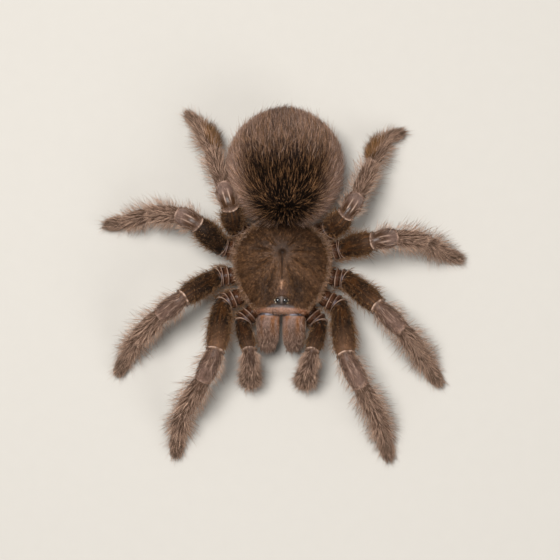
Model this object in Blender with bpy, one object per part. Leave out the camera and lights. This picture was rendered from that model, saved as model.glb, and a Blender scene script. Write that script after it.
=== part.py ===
"""Ecuadorian brown velvet tarantula, standing still, at life size.

The spider faces -Y and its abdomen points to +Y. It stands on the soles of its
eight feet and on the tips of its two palps, which all end in small flats at
z = 0. Every limb is a chain of straight segments with round bends between
them, and each segment is a node of its own that meets the next face to face.
The long coat of the limbs and the abdomen is built as flat tapered locks,
fused into the node they grow from.

Lengths in this script are millimetres and angles are degrees. place() brings
each finished mesh to metres.
"""

import math
import random

import bmesh
import bpy
from mathutils import Matrix, Vector

MM = 0.001
GAP = 0.3
SLIDE = 3.0
UP = Vector((0, 0, 1))
RIGHT_TO_LEFT = Vector((1, 0, 0))

# The middle of the whole box, seen from above and measured from the middle of the carapace
BOX_CENTRE = Vector((0.4, -4.75, 0.0))

# Carapace: its half widths at stations from the front edge back
CARAPACE_OUTLINE = ((-13.0, 6.9), (-12.0, 7.8), (-8.0, 10.6), (-3.0, 12.6), (2.0, 13.1),
                    (6.5, 11.8), (10.0, 8.4), (11.8, 4.6), (12.4, 0.0))
CARAPACE_UNDERSIDE = 11.5
CARAPACE_RIM = 0.7
CARAPACE_RISE = 4.6
CARAPACE_FALL = 2.4
CARAPACE_SIDES = 28
CARAPACE_RINGS = (0.2, 0.45, 0.7, 0.88, 1.0)
# The head region stands higher, and so does the middle of the front edge
CAPUT = (0.0, -6.0)
CAPUT_SPREAD = (4.5, 5.0)
CAPUT_RISE = 0.7
FRONT_HALF_WIDTH = 9.5
FRONT_RISE = 2.6
# The fovea is a pit, and shallow grooves run out from it to the edge
FOVEA = Vector((0.0, 3.7, 0.0))
FOVEA_DEPTH = 0.8
FOVEA_SHARE = 0.08
GROOVE_HEADINGS = (-67.5, -28.9, 6.4, 45.0)
GROOVE_DEPTH = 0.45
GROOVE_HALF_WIDTH = 7.0
GROOVE_END = 0.85

# Eye turret on the front of the carapace, with two large eyes and six small ones:
# the place across and along the turret, and the radius, of each eye of the left side
TURRET_CENTRE = Vector((0.0, -9.3, 0.0))
TURRET_SIZE = (1.9, 1.5, 1.2)
TURRET_WALL = 0.15
EYES = ((0.75, -0.25, 0.66), (1.45, -1.0, 0.42), (1.7, 0.15, 0.45), (1.2, 0.6, 0.3))
EYE_SINK = 0.2

# Sternum block under the carapace, which carries the limbs, and the waist behind it
STERNUM_SIZE = (6.2, 8.0)
STERNUM_HEIGHTS = (5.0, 11.2)
STERNUM_TAPER = 0.9
PEDICEL_RADIUS = 1.4
PEDICEL_HEIGHTS = (9.2, 10.2)

# Abdomen: the form that its coat grows from, an ellipsoid with a blunter front half
ABDOMEN_CENTRE = Vector((0.35, 27.1, 14.8))
ABDOMEN_SIZE = Vector((14.8, 14.0, 12.3))
ABDOMEN_BLUNTNESS = 0.82
SPINNERET_OFFSET = 1.9
SPINNERET_HEIGHT = 7.4
SPINNERET_START = 38.0
SPINNERET_HEADING = (0.18, 1.0, -0.12)
SPINNERET_LENGTH = 4.2
SPINNERET_PROFILE = ((0.0, 1.0), (0.45, 0.95), (0.85, 0.7), (1.0, 0.4))

# Limb segments: half width and half height at shares of the segment's length, taken
# at the middle of the short fur
COXA_PROFILE = ((0.0, 1.6, 2.1), (0.5, 2.3, 2.4), (1.0, 2.8, 2.6))
FEMUR_PROFILE = ((0.0, 2.5, 2.5), (0.25, 2.95, 2.9), (0.65, 3.1, 3.0), (1.0, 2.6, 2.6))
PATELLA_PROFILE = ((0.0, 2.6, 2.6), (0.5, 2.85, 2.8), (1.0, 2.5, 2.5))
TIBIA_PROFILE = ((0.0, 2.45, 2.4), (0.35, 2.65, 2.55), (0.8, 2.5, 2.4), (1.0, 2.2, 2.2))
FOOT_PROFILE = ((0.0, 2.15, 2.15), (0.25, 2.25, 2.15), (0.6, 2.0, 1.9), (0.8, 2.1, 2.0),
                (0.93, 1.8, 1.8), (1.0, 1.0, 1.2))
BRUSH_PROFILE = ((0.0, 2.2, 2.2), (0.3, 2.7, 2.6), (0.7, 2.75, 2.6), (0.9, 2.3, 2.2), (1.0, 1.5, 1.5))
LIMB_SIDES = 8
LEG_BEND = 3.4
PALP_BEND = 2.6
SHORTEST_BEND = 0.3
SHARP_BEND = 35

# Leg pairs from the front: where the coxa leaves the sternum, where the femur
# starts, the five lengths from femur to tarsus, and the girth of thigh and shin
LEG_PAIRS = {
    1: ((4.8, -5.3), (16.2, -10.8), (17.2, 9.7, 13.0, 9.9, 6.2), (1.0, 1.0)),
    2: ((6.0, -1.8), (18.1, -3.5), (15.9, 9.3, 11.3, 9.2, 6.3), (0.97, 0.97)),
    3: ((6.0, 2.1), (17.1, 5.1), (14.3, 7.6, 11.0, 10.0, 5.6), (1.0, 0.93)),
    4: ((4.8, 5.7), (13.4, 10.4), (14.7, 8.9, 12.7, 11.5, 5.0), (0.96, 0.86)),
}
COXA_HEIGHTS = (7.7, 8.8)
SOLE_HEIGHTS = (2.4, 2.2)
SOLE_LIFT = 0.7

# Headings and pitches of femur, patella and tibia, then the headings of
# metatarsus and tarsus, which come down to the sole by themselves
LEG_POSES = {
    ("r", 1): ((-95, 44), (-114, -25), (-121, -33), -105, -94),
    ("l", 1): ((-85, 41), (-62, -13), (-60, -41), -69, -76),
    ("r", 2): ((-146, 51), (-142, -32), (-136, -36), -124, -116),
    ("l", 2): ((-42, 49), (-43, -20), (-48, -45), -53, -57),
    ("r", 3): ((134, 56), (156, -40), (177, -39), -163, -171),
    ("l", 3): ((14, 59), (12, -38), (-5, -34), -29, -17),
    ("r", 4): ((96, 73), (109, -36), (111, -36), 117, 136),
    ("l", 4): ((41, 73), (60, -44), (65, -31), 61, 22),
}

# Palps: as the legs, but without a metatarsus, and with a bushy tarsus
PALP_COXA = ((2.6, -7.6), (10.9, -16.0))
PALP_HEIGHTS = (7.2, 8.0)
PALP_LENGTHS = (10.8, 5.5, 7.2, 5.8)
PALP_GIRTH = 0.76
PALP_TIP_HEIGHT = 1.5
PALP_POSES = {
    "r": ((-70, 47), (-89, -25), (-90, -62), -90),
    "l": ((-109, 47), (-101, -25), (-100, -62), -100),
}

# Chelicerae: points down the middle of the left one, with half widths and half heights
CHELICERA_PATH = ((3.45, -13.3, 12.2), (3.45, -16.2, 12.3), (3.45, -19.2, 11.0), (3.4, -21.3, 8.8),
                  (3.3, -21.8, 6.9))
CHELICERA_GIRTHS = ((3.0, 2.9), (3.25, 3.6), (3.2, 3.5), (2.8, 2.7), (1.7, 1.6))
# Fangs: how each curves down and back from the end of its chelicera
FANG_CURVE = ((0.0, 0.0, 0.0), (-0.05, 0.5, -1.6), (-0.15, 2.3, -3.2), (-0.3, 4.9, -4.0))
FANG_RADII = (1.15, 1.0, 0.65, 0.25)

# Locks of the coat: flat, ridged and tapered, bent over along the lie of the coat.
# Shares of a lock's length, with the width and thickness there, before its pointed tip
LOCK_STATIONS = ((0.0, 0.75, 1.0), (0.35, 1.0, 0.75), (0.7, 0.7, 0.55))
LOCK_SINK = 0.8
LOCK_INSET = 0.2
LOCK_SHORTEST = 1.6
LOCK_SHORTENING = 0.85
LOCK_CLEARANCE = 0.35
FLOOR_CLEARANCE = 0.4
SEED = 41
# How far locks stray from their row, and from the lie, size and lift of the others
LOCK_STRAY = 0.15
ROW_STRAY = 3
LIE_STRAY = 0.2
SIZE_STRAY = 0.15
LIFT_STRAY = 0.3

# Rows of locks: share of the segment's length and the number of locks round it
FEMUR_ROWS = ((0.2, 4), (0.55, 5))
PATELLA_ROWS = ((0.4, 4),)
TIBIA_ROWS = ((0.15, 4), (0.55, 4))
FOOT_ROWS = ((0.08, 4), (0.36, 4), (0.66, 3))
BRUSH_ROWS = ((0.08, 5), (0.36, 5), (0.64, 4))
LEG_LOCK = (4.6, 2.3, 0.36)
PALP_LOCK = (3.6, 1.9, 0.3)

# On the abdomen the rows are angles from the waist, and the locks are larger
ABDOMEN_ROWS = ((36, 7), (56, 10), (76, 12), (96, 13), (116, 12), (136, 9), (155, 5))
ABDOMEN_LOCK = (7.6, 4.2, 0.05)

CARAPACE_BROWN = "#573e2d"
FEMUR_BROWN = "#442d1c"
LIMB_BROWN = "#755c4f"
FOOT_BROWN = "#695449"
ABDOMEN_BROWN = "#3a2a1f"
CHELICERA_BROWN = "#755a4d"
UNDERSIDE_BROWN = "#3d2b20"
FANG_BLACK = "#16100d"


def linear(hex_colour):
    """An sRGB hex colour as linear red, green, blue and alpha."""
    parts = [int(hex_colour[k:k + 2], 16) / 255 for k in (1, 3, 5)]
    return [p / 12.92 if p <= 0.04045 else ((p + 0.055) / 1.055) ** 2.4 for p in parts] + [1.0]


def coat_material(name, hex_colour, roughness):
    """A plain surface in one colour of the animal."""
    material = bpy.data.materials.new(name)
    material.use_nodes = True
    shader = material.node_tree.nodes["Principled BSDF"]
    shader.inputs["Base Color"].default_value = linear(hex_colour)
    shader.inputs["Roughness"].default_value = roughness
    shader.inputs["Metallic"].default_value = 0.0
    material.diffuse_color = linear(hex_colour)
    return material


def interpolate(table, share):
    """The row of a table at a share of its first column, without that column."""
    for near, far in zip(table, table[1:]):
        if share <= far[0]:
            step = max(0.0, (share - near[0]) / (far[0] - near[0]))
            return [a + (b - a) * step for a, b in zip(near[1:], far[1:])]
    return list(table[-1][1:])


def direction(heading, pitch):
    """The unit vector with a heading turned from +X and a pitch above the level."""
    heading = math.radians(heading)
    pitch = math.radians(pitch)
    return Vector((math.cos(pitch) * math.cos(heading), math.cos(pitch) * math.sin(heading), math.sin(pitch)))


# Plain distances to the forms, by which pieces stop short of each other

def tube_distance(point, pieces):
    """How far a point lies outside a flat-ended tube, given as tapered pieces."""
    nearest = math.inf
    for start, end, start_radius, end_radius in pieces:
        axis = end - start
        length = axis.length
        along = (point - start).dot(axis) / length
        share = min(1.0, max(0.0, along / length))
        beyond = max(0.0, -along, along - length)
        aside = (point - start - axis * (along / length)).length
        aside -= start_radius + (end_radius - start_radius) * share
        if aside > 0:
            nearest = min(nearest, math.hypot(aside, beyond))
        else:
            nearest = min(nearest, beyond if beyond > 0 else aside)
    return nearest


def ellipsoid_distance(point, centre, size):
    """How far a point lies outside an ellipsoid, to first order."""
    offset = point - centre
    scaled = Vector((offset.x / size[0], offset.y / size[1], offset.z / size[2]))
    return offset.length * (1 - 1 / scaled.length)


def carapace_distance(point):
    """How far a point lies outside the carapace, read as half an ellipsoid."""
    front = CARAPACE_OUTLINE[0][0]
    rear = CARAPACE_OUTLINE[-1][0]
    centre = Vector((0, (front + rear) / 2, CARAPACE_UNDERSIDE))
    half_width = max(half_width for _, half_width in CARAPACE_OUTLINE)
    crown = CARAPACE_RIM + CARAPACE_RISE
    return ellipsoid_distance(point, centre, (half_width, (rear - front) / 2, crown))


def abdomen_distance(point):
    """How far a point lies outside the abdomen, to first order."""
    offset = point - ABDOMEN_CENTRE
    scaled = Vector([a / b for a, b in zip(offset, ABDOMEN_SIZE)])
    reach = scaled.length
    if scaled.y < 0:
        reach = math.hypot(math.hypot(scaled.x, scaled.z) ** (1 / ABDOMEN_BLUNTNESS), scaled.y)
    return offset.length * (1 - 1 / reach)


def sternum_distance(point):
    """How far a point lies outside the sternum's upright wall."""
    flat = Vector((point.x, point.y, 0))
    return ellipsoid_distance(flat, Vector((0, 0, 0)), (*STERNUM_SIZE, 1))


FORMS = {"carapace": carapace_distance, "abdomen": abdomen_distance}


def slide_to(point, heading, distance, clearance=GAP):
    """The point moved along a heading, out of a form, until it stands the clearance off."""
    near, far = -SLIDE, SLIDE
    for _ in range(30):
        middle = (near + far) / 2
        if distance(point + heading * middle) < clearance:
            near = middle
        else:
            far = middle
    return point + heading * far


# Closed bodies

def loft(name, rings, sides):
    """A closed body through rings of points, with a fan to a middle point at each end."""
    form = bmesh.new()
    loops = [[form.verts.new(point) for point in ring[:sides]] for ring in rings]
    for near, far in zip(loops, loops[1:]):
        for k in range(sides):
            form.faces.new((near[k], near[(k + 1) % sides], far[(k + 1) % sides], far[k]))
    for loop, ring in ((loops[0], rings[0]), (loops[-1], rings[-1])):
        middle = form.verts.new(ring[sides])
        for k in range(sides):
            form.faces.new((loop[k], middle, loop[(k + 1) % sides]))
    bmesh.ops.recalc_face_normals(form, faces=form.faces)
    return mesh_object(name, form)


def mesh_object(name, form):
    """An object from a bmesh, in the scene."""
    mesh = bpy.data.meshes.new(name)
    form.to_mesh(mesh)
    form.free()
    piece = bpy.data.objects.new(name, mesh)
    bpy.context.scene.collection.objects.link(piece)
    return piece


def ring_round(point, tangent, half_width, half_height, sideways=None):
    """A ring of points square to a tangent, and its middle point after them.

    Its width lies level, or along the sideways direction where one is given.
    """
    if sideways is None:
        across = tangent.cross(UP).normalized()
    else:
        across = (sideways - tangent * sideways.dot(tangent)).normalized()
    over = across.cross(tangent)
    ring = []
    for k in range(LIMB_SIDES):
        turn = 2 * math.pi * (k + 0.5) / LIMB_SIDES
        ring.append(point + across * half_width * math.cos(turn) + over * half_height * math.sin(turn))
    return ring + [point.copy()]


# Limbs

def bend(joint, heading_in, heading_out, radius):
    """Points and tangents round a bend, whose middle is where two segments meet."""
    angle = heading_in.angle(heading_out)
    reach = radius * math.tan(angle / 2)
    if reach < SHORTEST_BEND:
        return [(joint, (heading_in + heading_out).normalized())]
    axis = heading_in.cross(heading_out).normalized()
    centre = joint + (heading_out - heading_in).normalized() * radius / math.cos(angle / 2)
    start = joint - heading_in * reach
    steps = 4 if angle > math.radians(SHARP_BEND) else 2
    samples = []
    for k in range(steps + 1):
        turn = Matrix.Rotation(angle * k / steps, 3, axis)
        samples.append((centre + turn @ (start - centre), turn @ heading_in))
    return samples


def limb_bends(joints, radius):
    """The bend at each joint of a limb; its two ends are single points."""
    headings = [(far - near).normalized() for near, far in zip(joints, joints[1:])]
    bends = [[(joints[0], headings[0])]]
    for joint, heading_in, heading_out in zip(joints[1:], headings, headings[1:]):
        bends.append(bend(joint, heading_in, heading_out, radius))
    bends.append([(joints[-1], headings[-1])])
    return bends


def straight(start, end, steps):
    """Points between two others, with the tangent from one to the other."""
    tangent = (end - start).normalized()
    return [(start.lerp(end, k / (steps + 1)), tangent) for k in range(1, steps + 1)]


def segment_path(near, far, through=()):
    """The middle line of a segment, from the middle of one bend to the middle of the next."""
    samples = near[len(near) // 2:]
    for passed in through:
        samples = samples + straight(samples[-1][0], passed[0][0], 1) + passed
    samples = samples + straight(samples[-1][0], far[0][0], 1) + far[:len(far) // 2 + 1]
    first, first_tangent = samples[0]
    last, last_tangent = samples[-1]
    samples[0] = (first + first_tangent * GAP / 2, first_tangent)
    samples[-1] = (last - last_tangent * GAP / 2, last_tangent)
    return samples


def path_shares(samples):
    """Each sample's share of the whole length of a path."""
    lengths = [0.0]
    for (near, _), (far, _) in zip(samples, samples[1:]):
        lengths.append(lengths[-1] + (far - near).length)
    return [length / lengths[-1] for length in lengths]


def segment(name, samples, profile, girth, sole=False):
    """One segment of a limb as a closed tube, and the form that others keep clear of."""
    rings = []
    radii = []
    for (point, tangent), share in zip(samples, path_shares(samples)):
        half_width, half_height = (size * girth for size in interpolate(profile, share))
        ring = ring_round(point, tangent, half_width, half_height)
        if sole:
            for vertex in ring:
                if vertex.z < SOLE_LIFT:
                    vertex.z = 0.0
        rings.append(ring)
        radii.append(max(half_width, half_height))
    pieces = [(near, far, near_radius, far_radius) for (near, _), (far, _), near_radius, far_radius
              in zip(samples, samples[1:], radii, radii[1:])]
    FORMS[name] = lambda point: tube_distance(point, pieces)
    return rings


def coxa_rings(name, samples, profile):
    """A coxa's rings, the first of them set against the sternum's wall."""
    rings = segment(name, samples, profile, 1.0)
    outwards = samples[0][1]
    rings[0] = [slide_to(point, outwards, sternum_distance) for point in rings[0]]
    return rings


def leg_joints(side, pair):
    """The joints of one leg from the sternum to the tip of the tarsus."""
    inner, root, lengths, _ = LEG_PAIRS[pair]
    mirror = 1 if side == "l" else -1
    joints = [Vector((inner[0] * mirror, inner[1], COXA_HEIGHTS[0])),
              Vector((root[0] * mirror, root[1], COXA_HEIGHTS[1]))]
    pose = LEG_POSES[side, pair]
    for length, (heading, pitch) in zip(lengths, pose[:3]):
        joints.append(joints[-1] + direction(heading, pitch) * length)
    for length, heading, height in zip(lengths[3:], pose[3:], SOLE_HEIGHTS):
        pitch = math.degrees(math.asin((height - joints[-1].z) / length))
        joints.append(joints[-1] + direction(heading, pitch) * length)
    return joints


def leg(side, pair):
    """The five nodes of one leg."""
    bends = limb_bends(leg_joints(side, pair), LEG_BEND)
    thigh, shin = LEG_PAIRS[pair][3]
    stem = f"leg_{side}{pair}_"
    pieces = [
        ("coxa", segment_path(bends[0], bends[1]), COXA_PROFILE, 1.0, (), UNDERSIDE_BROWN),
        ("femur", segment_path(bends[1], bends[2]), FEMUR_PROFILE, thigh, FEMUR_ROWS, FEMUR_BROWN),
        ("patella", segment_path(bends[2], bends[3]), PATELLA_PROFILE, thigh, PATELLA_ROWS, LIMB_BROWN),
        ("tibia", segment_path(bends[3], bends[4]), TIBIA_PROFILE, shin, TIBIA_ROWS, LIMB_BROWN),
        ("foot", segment_path(bends[4], bends[6], through=(bends[5],)), FOOT_PROFILE, shin, FOOT_ROWS,
         FOOT_BROWN),
    ]
    limb(stem, pieces, LEG_LOCK)


def palp(side):
    """The four nodes of one palp."""
    mirror = 1 if side == "l" else -1
    inner, root = PALP_COXA
    joints = [Vector((inner[0] * mirror, inner[1], PALP_HEIGHTS[0])),
              Vector((root[0] * mirror, root[1], PALP_HEIGHTS[1]))]
    pose = PALP_POSES[side]
    for length, (heading, pitch) in zip(PALP_LENGTHS, pose[:3]):
        joints.append(joints[-1] + direction(heading, pitch) * length)
    pitch = math.degrees(math.asin((PALP_TIP_HEIGHT - joints[-1].z) / PALP_LENGTHS[3]))
    joints.append(joints[-1] + direction(pose[3], pitch) * PALP_LENGTHS[3])
    bends = limb_bends(joints, PALP_BEND)
    pieces = [
        ("coxa", segment_path(bends[0], bends[1]), COXA_PROFILE, 1.0, (), UNDERSIDE_BROWN),
        ("femur", segment_path(bends[1], bends[2]), FEMUR_PROFILE, PALP_GIRTH, PATELLA_ROWS, FEMUR_BROWN),
        ("patella", segment_path(bends[2], bends[3]), PATELLA_PROFILE, PALP_GIRTH, PATELLA_ROWS, LIMB_BROWN),
        ("foot", segment_path(bends[3], bends[5], through=(bends[4],)), BRUSH_PROFILE, 1.0, BRUSH_ROWS,
         FOOT_BROWN),
    ]
    limb(f"palp_{side}_", pieces, PALP_LOCK)


def limb(stem, pieces, lock_size):
    """Makes the nodes of a limb, and notes where the locks of each will grow."""
    for segment_name, samples, profile, girth, rows, colour in pieces:
        name = stem + segment_name
        if segment_name == "coxa":
            rings = coxa_rings(name, samples, profile)
        else:
            rings = segment(name, samples, profile, girth, sole=segment_name == "foot")
        piece = loft(name, rings, LIMB_SIDES)
        roots = limb_roots(samples, profile, girth, rows)
        COATS.append((piece, roots, lock_size, samples[0][0], colour))


def limb_roots(samples, profile, girth, rows):
    """Where the locks of a segment grow: place, outward direction and lie of each."""
    roots = []
    shares = path_shares(samples)
    for row, (share, count) in enumerate(rows):
        far = next(k for k, reached in enumerate(shares) if reached >= share)
        step = (share - shares[far - 1]) / (shares[far] - shares[far - 1])
        point = samples[far - 1][0].lerp(samples[far][0], step)
        tangent = samples[far - 1][1].lerp(samples[far][1], step).normalized()
        across = tangent.cross(UP).normalized()
        over = across.cross(tangent)
        half_width, half_height = (size * girth for size in interpolate(profile, share))
        for k in range(count):
            turn = 2 * math.pi * (k + 0.5 * (row % 2) + CHANCE.uniform(-LOCK_STRAY, LOCK_STRAY)) / count
            out = (across * math.cos(turn) / half_width + over * math.sin(turn) / half_height).normalized()
            base = point + across * half_width * math.cos(turn) + over * half_height * math.sin(turn)
            roots.append((base - out * LOCK_INSET, out, tangent))
    return roots


def abdomen_point(sphere):
    """The place on the abdomen of a point of the unit sphere. The front half is made fuller."""
    aside = math.hypot(sphere.x, sphere.z)
    if sphere.y < 0 and aside > 0.01:
        fuller = aside ** (ABDOMEN_BLUNTNESS - 1)
        sphere = Vector((sphere.x * fuller, sphere.y, sphere.z * fuller))
    return ABDOMEN_CENTRE + Vector([a * b for a, b in zip(sphere, ABDOMEN_SIZE)])


def abdomen_roots():
    """Where the abdomen's locks grow: rows round the line from waist to spinnerets."""
    roots = []
    for row, (polar, count) in enumerate(ABDOMEN_ROWS):
        for k in range(count):
            turn = 2 * math.pi * (k + 0.5 * (row % 2) + CHANCE.uniform(-LOCK_STRAY, LOCK_STRAY)) / count
            lean = math.radians(polar + CHANCE.uniform(-ROW_STRAY, ROW_STRAY))
            ray = (math.cos(turn), math.sin(turn))
            sphere = Vector((math.sin(lean) * ray[0], -math.cos(lean), math.sin(lean) * ray[1]))
            slope = Vector((math.cos(lean) * ray[0], math.sin(lean), math.cos(lean) * ray[1]))
            base = abdomen_point(sphere)
            out = Vector([a / b for a, b in zip(sphere, ABDOMEN_SIZE)]).normalized()
            lie = Vector([a * b for a, b in zip(slope, ABDOMEN_SIZE)]).normalized()
            roots.append((base - out * LOCK_INSET, out, lie))
    return roots


# Coat

def lock_rings(base, out, lie, length, width, lift):
    """Three-sided sections down a lock, from its sunken root, and its tip."""
    side = lie.cross(out)
    rings = []
    for share, breadth, thickness in LOCK_STATIONS:
        middle = base + lie * length * share + out * length * lift * share * (1.7 - 0.7 * share)
        if share == 0.0:
            middle -= out * LOCK_SINK
        ridge = middle + out * thickness
        rings.append([middle - side * width * breadth / 2, middle + side * width * breadth / 2, ridge])
    tip = base + lie * length + out * length * lift
    return rings, tip


def is_clear(points, owner):
    """Whether points stand off the floor and are nearer to their own node than to any other."""
    for point in points:
        if point.z < FLOOR_CLEARANCE:
            return False
        own = FORMS[owner](point)
        for name, distance in FORMS.items():
            if name != owner and distance(point) < own + LOCK_CLEARANCE:
                return False
    return True


def lock(owner, root, size):
    """One closed lock, shortened until it is clear of every other node, or nothing."""
    base, out, lie = root
    length = size[0] * CHANCE.uniform(1 - SIZE_STRAY, 1 + SIZE_STRAY)
    width = size[1] * CHANCE.uniform(1 - SIZE_STRAY, 1 + SIZE_STRAY)
    lift = size[2] * CHANCE.uniform(1 - LIFT_STRAY, 1 + LIFT_STRAY)
    turned = Matrix.Rotation(CHANCE.uniform(-LIE_STRAY, LIE_STRAY), 3, out) @ lie
    while length > LOCK_SHORTEST:
        rings, tip = lock_rings(base, out, turned, length, width, lift)
        if is_clear([point for ring in rings[1:] for point in ring] + [tip], owner):
            return lock_object(rings, tip)
        length *= LOCK_SHORTENING
    return None


def lock_object(rings, tip):
    """A lock's closed mesh."""
    form = bmesh.new()
    loops = [[form.verts.new(point) for point in ring] for ring in rings]
    form.faces.new(loops[0])
    for near, far in zip(loops, loops[1:]):
        for k in range(3):
            form.faces.new((near[k], near[(k + 1) % 3], far[(k + 1) % 3], far[k]))
    point = form.verts.new(tip)
    for k in range(3):
        form.faces.new((loops[-1][k], loops[-1][(k + 1) % 3], point))
    bmesh.ops.triangulate(form, faces=form.faces)
    bmesh.ops.recalc_face_normals(form, faces=form.faces)
    return mesh_object("lock", form)


def grow_coats():
    """Fuses the locks into every coated node, once the forms of all nodes are known."""
    for piece, roots, size, origin, colour in COATS:
        locks = [lock(piece.name, root, size) for root in roots]
        locks = [grown for grown in locks if grown is not None]
        if locks:
            fuse(piece, locks)
        place(piece, origin, colour)


# Body

def carapace_half_width(y):
    if y < CARAPACE_OUTLINE[0][0] or y > CARAPACE_OUTLINE[-1][0]:
        return 0.0
    return interpolate(CARAPACE_OUTLINE, y)[0]


def carapace_reach(heading):
    """How far the carapace's edge is from the fovea along a level heading."""
    near, far = 0.0, 25.0
    for _ in range(30):
        middle = (near + far) / 2
        point = FOVEA + heading * middle
        if abs(point.x) < carapace_half_width(point.y):
            near = middle
        else:
            far = middle
    return near


def carapace_height(heading, share):
    """Height of the carapace's upper side at a share of the way from fovea to edge."""
    point = FOVEA + heading * carapace_reach(heading) * share
    frontness = max(0.0, point.y / CARAPACE_OUTLINE[0][0])
    frontness *= max(0.0, 1 - (point.x / FRONT_HALF_WIDTH) ** 2)
    rim = CARAPACE_UNDERSIDE + CARAPACE_RIM + FRONT_RISE * frontness
    crown = CARAPACE_UNDERSIDE + CARAPACE_RIM + CARAPACE_RISE
    height = rim + (crown - rim) * (1 - share ** CARAPACE_FALL)
    aside = (point.x - CAPUT[0]) / CAPUT_SPREAD[0]
    along = (point.y - CAPUT[1]) / CAPUT_SPREAD[1]
    height += CAPUT_RISE * math.exp(-aside ** 2 - along ** 2) * (1 - share ** 6)
    height -= FOVEA_DEPTH * math.exp(-(share / FOVEA_SHARE) ** 2)
    turn = math.degrees(math.atan2(heading.y, abs(heading.x)))
    for groove in GROOVE_HEADINGS:
        nearness = math.exp(-((turn - groove) / GROOVE_HALF_WIDTH) ** 2)
        height -= GROOVE_DEPTH * nearness * math.sin(math.pi * min(1.0, share / GROOVE_END)) ** 2
    return height


def carapace():
    """The dorsal shield: grooves run out from the fovea, and the front edge stands higher."""
    headings = [direction(90 - 360 * k / CARAPACE_SIDES, 0) for k in range(CARAPACE_SIDES)]
    pit = FOVEA + UP * carapace_height(headings[0], 0.0)
    rings = []
    for share in CARAPACE_RINGS:
        edge = [FOVEA + heading * carapace_reach(heading) * share for heading in headings]
        ring = [point + UP * carapace_height(heading, share) for point, heading in zip(edge, headings)]
        rings.append(ring + [pit])
    underside = [Vector((point.x, point.y, CARAPACE_UNDERSIDE)) for point in rings[-1]]
    piece = loft("carapace", rings + [underside], CARAPACE_SIDES)
    place(piece, FOVEA + UP * CARAPACE_UNDERSIDE, CARAPACE_BROWN)


def carapace_top(x, y):
    """Height of the carapace's upper side above a place on the plan."""
    offset = Vector((x, y, 0)) - FOVEA
    heading = offset.normalized()
    return carapace_height(heading, offset.length / carapace_reach(heading))


def eye_turret():
    """The low mound that carries the eight eyes, with the eyes fused on."""
    form = bmesh.new()
    bmesh.ops.create_uvsphere(form, u_segments=12, v_segments=6, radius=1.0)
    half_width, half_length, rise = TURRET_SIZE
    for vertex in form.verts:
        x = TURRET_CENTRE.x + vertex.co.x * half_width
        y = TURRET_CENTRE.y + vertex.co.y * half_length
        lift = TURRET_WALL + vertex.co.z * rise if vertex.co.z > -0.1 else 0.0
        vertex.co = Vector((x, y, carapace_top(x, y) + GAP + lift))
    turret = mesh_object("eye_turret", form)
    base = carapace_top(TURRET_CENTRE.x, TURRET_CENTRE.y) + GAP + TURRET_WALL
    eyes = []
    for x, y, radius in EYES:
        slope = 1 - (x / (half_width + radius / 2)) ** 2 - (y / (half_length + radius / 2)) ** 2
        height = rise * math.sqrt(max(0.0, slope)) - EYE_SINK
        for mirror in (-1, 1):
            eye = bmesh.new()
            bmesh.ops.create_uvsphere(eye, u_segments=6, v_segments=5, radius=radius)
            bmesh.ops.translate(eye, verts=eye.verts,
                                vec=TURRET_CENTRE + Vector((x * mirror, y, base + height)))
            eyes.append(mesh_object("eye", eye))
    fuse(turret, eyes)
    place(turret, TURRET_CENTRE + UP * base, FANG_BLACK)


def sternum():
    """The plate between the coxae, as deep as they are."""
    low, high = STERNUM_HEIGHTS
    form = bmesh.new()
    bmesh.ops.create_cone(form, cap_ends=True, segments=20, radius1=STERNUM_TAPER, radius2=1.0,
                          depth=high - low)
    for vertex in form.verts:
        vertex.co.x *= STERNUM_SIZE[0]
        vertex.co.y *= STERNUM_SIZE[1]
        vertex.co.z += (low + high) / 2
    place(mesh_object("sternum", form), Vector((0, 0, low)), UNDERSIDE_BROWN)


def pedicel():
    """The narrow waist, from the sternum's wall to the front of the abdomen."""
    start = Vector((0, STERNUM_SIZE[1], PEDICEL_HEIGHTS[0]))
    end = Vector((0, ABDOMEN_CENTRE.y - ABDOMEN_SIZE.y, PEDICEL_HEIGHTS[1]))
    tangent = (end - start).normalized()
    rings = [ring_round(point, tangent, PEDICEL_RADIUS, PEDICEL_RADIUS) for point in (start, end)]
    rings[0] = [slide_to(point, tangent, sternum_distance) for point in rings[0]]
    rings[1] = [slide_to(point, -tangent, abdomen_distance) for point in rings[1]]
    place(loft("pedicel", rings, LIMB_SIDES), start, UNDERSIDE_BROWN)


def abdomen():
    """The round abdomen, with its poles at the waist and at the rear."""
    form = bmesh.new()
    bmesh.ops.create_uvsphere(form, u_segments=18, v_segments=11, radius=1.0)
    upright = Matrix.Rotation(math.radians(90), 3, "X")
    for vertex in form.verts:
        vertex.co = abdomen_point(upright @ vertex.co)
    piece = mesh_object("abdomen", form)
    COATS.append((piece, abdomen_roots(), ABDOMEN_LOCK, ABDOMEN_CENTRE, ABDOMEN_BROWN))


def spinneret(side):
    """One of the two long spinnerets, which show from behind and from below."""
    mirror = 1 if side == "l" else -1
    x = ABDOMEN_CENTRE.x + SPINNERET_OFFSET * mirror
    splay, back, drop = SPINNERET_HEADING
    tangent = Vector((splay * mirror, back, drop)).normalized()
    start = slide_to(Vector((x, SPINNERET_START, SPINNERET_HEIGHT)), tangent, abdomen_distance)
    points = [start + tangent * SPINNERET_LENGTH * share for share, _ in SPINNERET_PROFILE]
    girths = [(radius, radius) for _, radius in SPINNERET_PROFILE]
    curved_piece(f"spinneret_{side}", points, [tangent] * len(points), girths, UNDERSIDE_BROWN,
                 against=abdomen_distance)


def path_tangents(points, first=None):
    """The tangent at each point of a short path; the first may be given."""
    tangents = []
    for k in range(len(points)):
        before = points[max(0, k - 1)]
        after = points[min(len(points) - 1, k + 1)]
        tangents.append((after - before).normalized())
    if first is not None:
        tangents[0] = first
    return tangents


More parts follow.
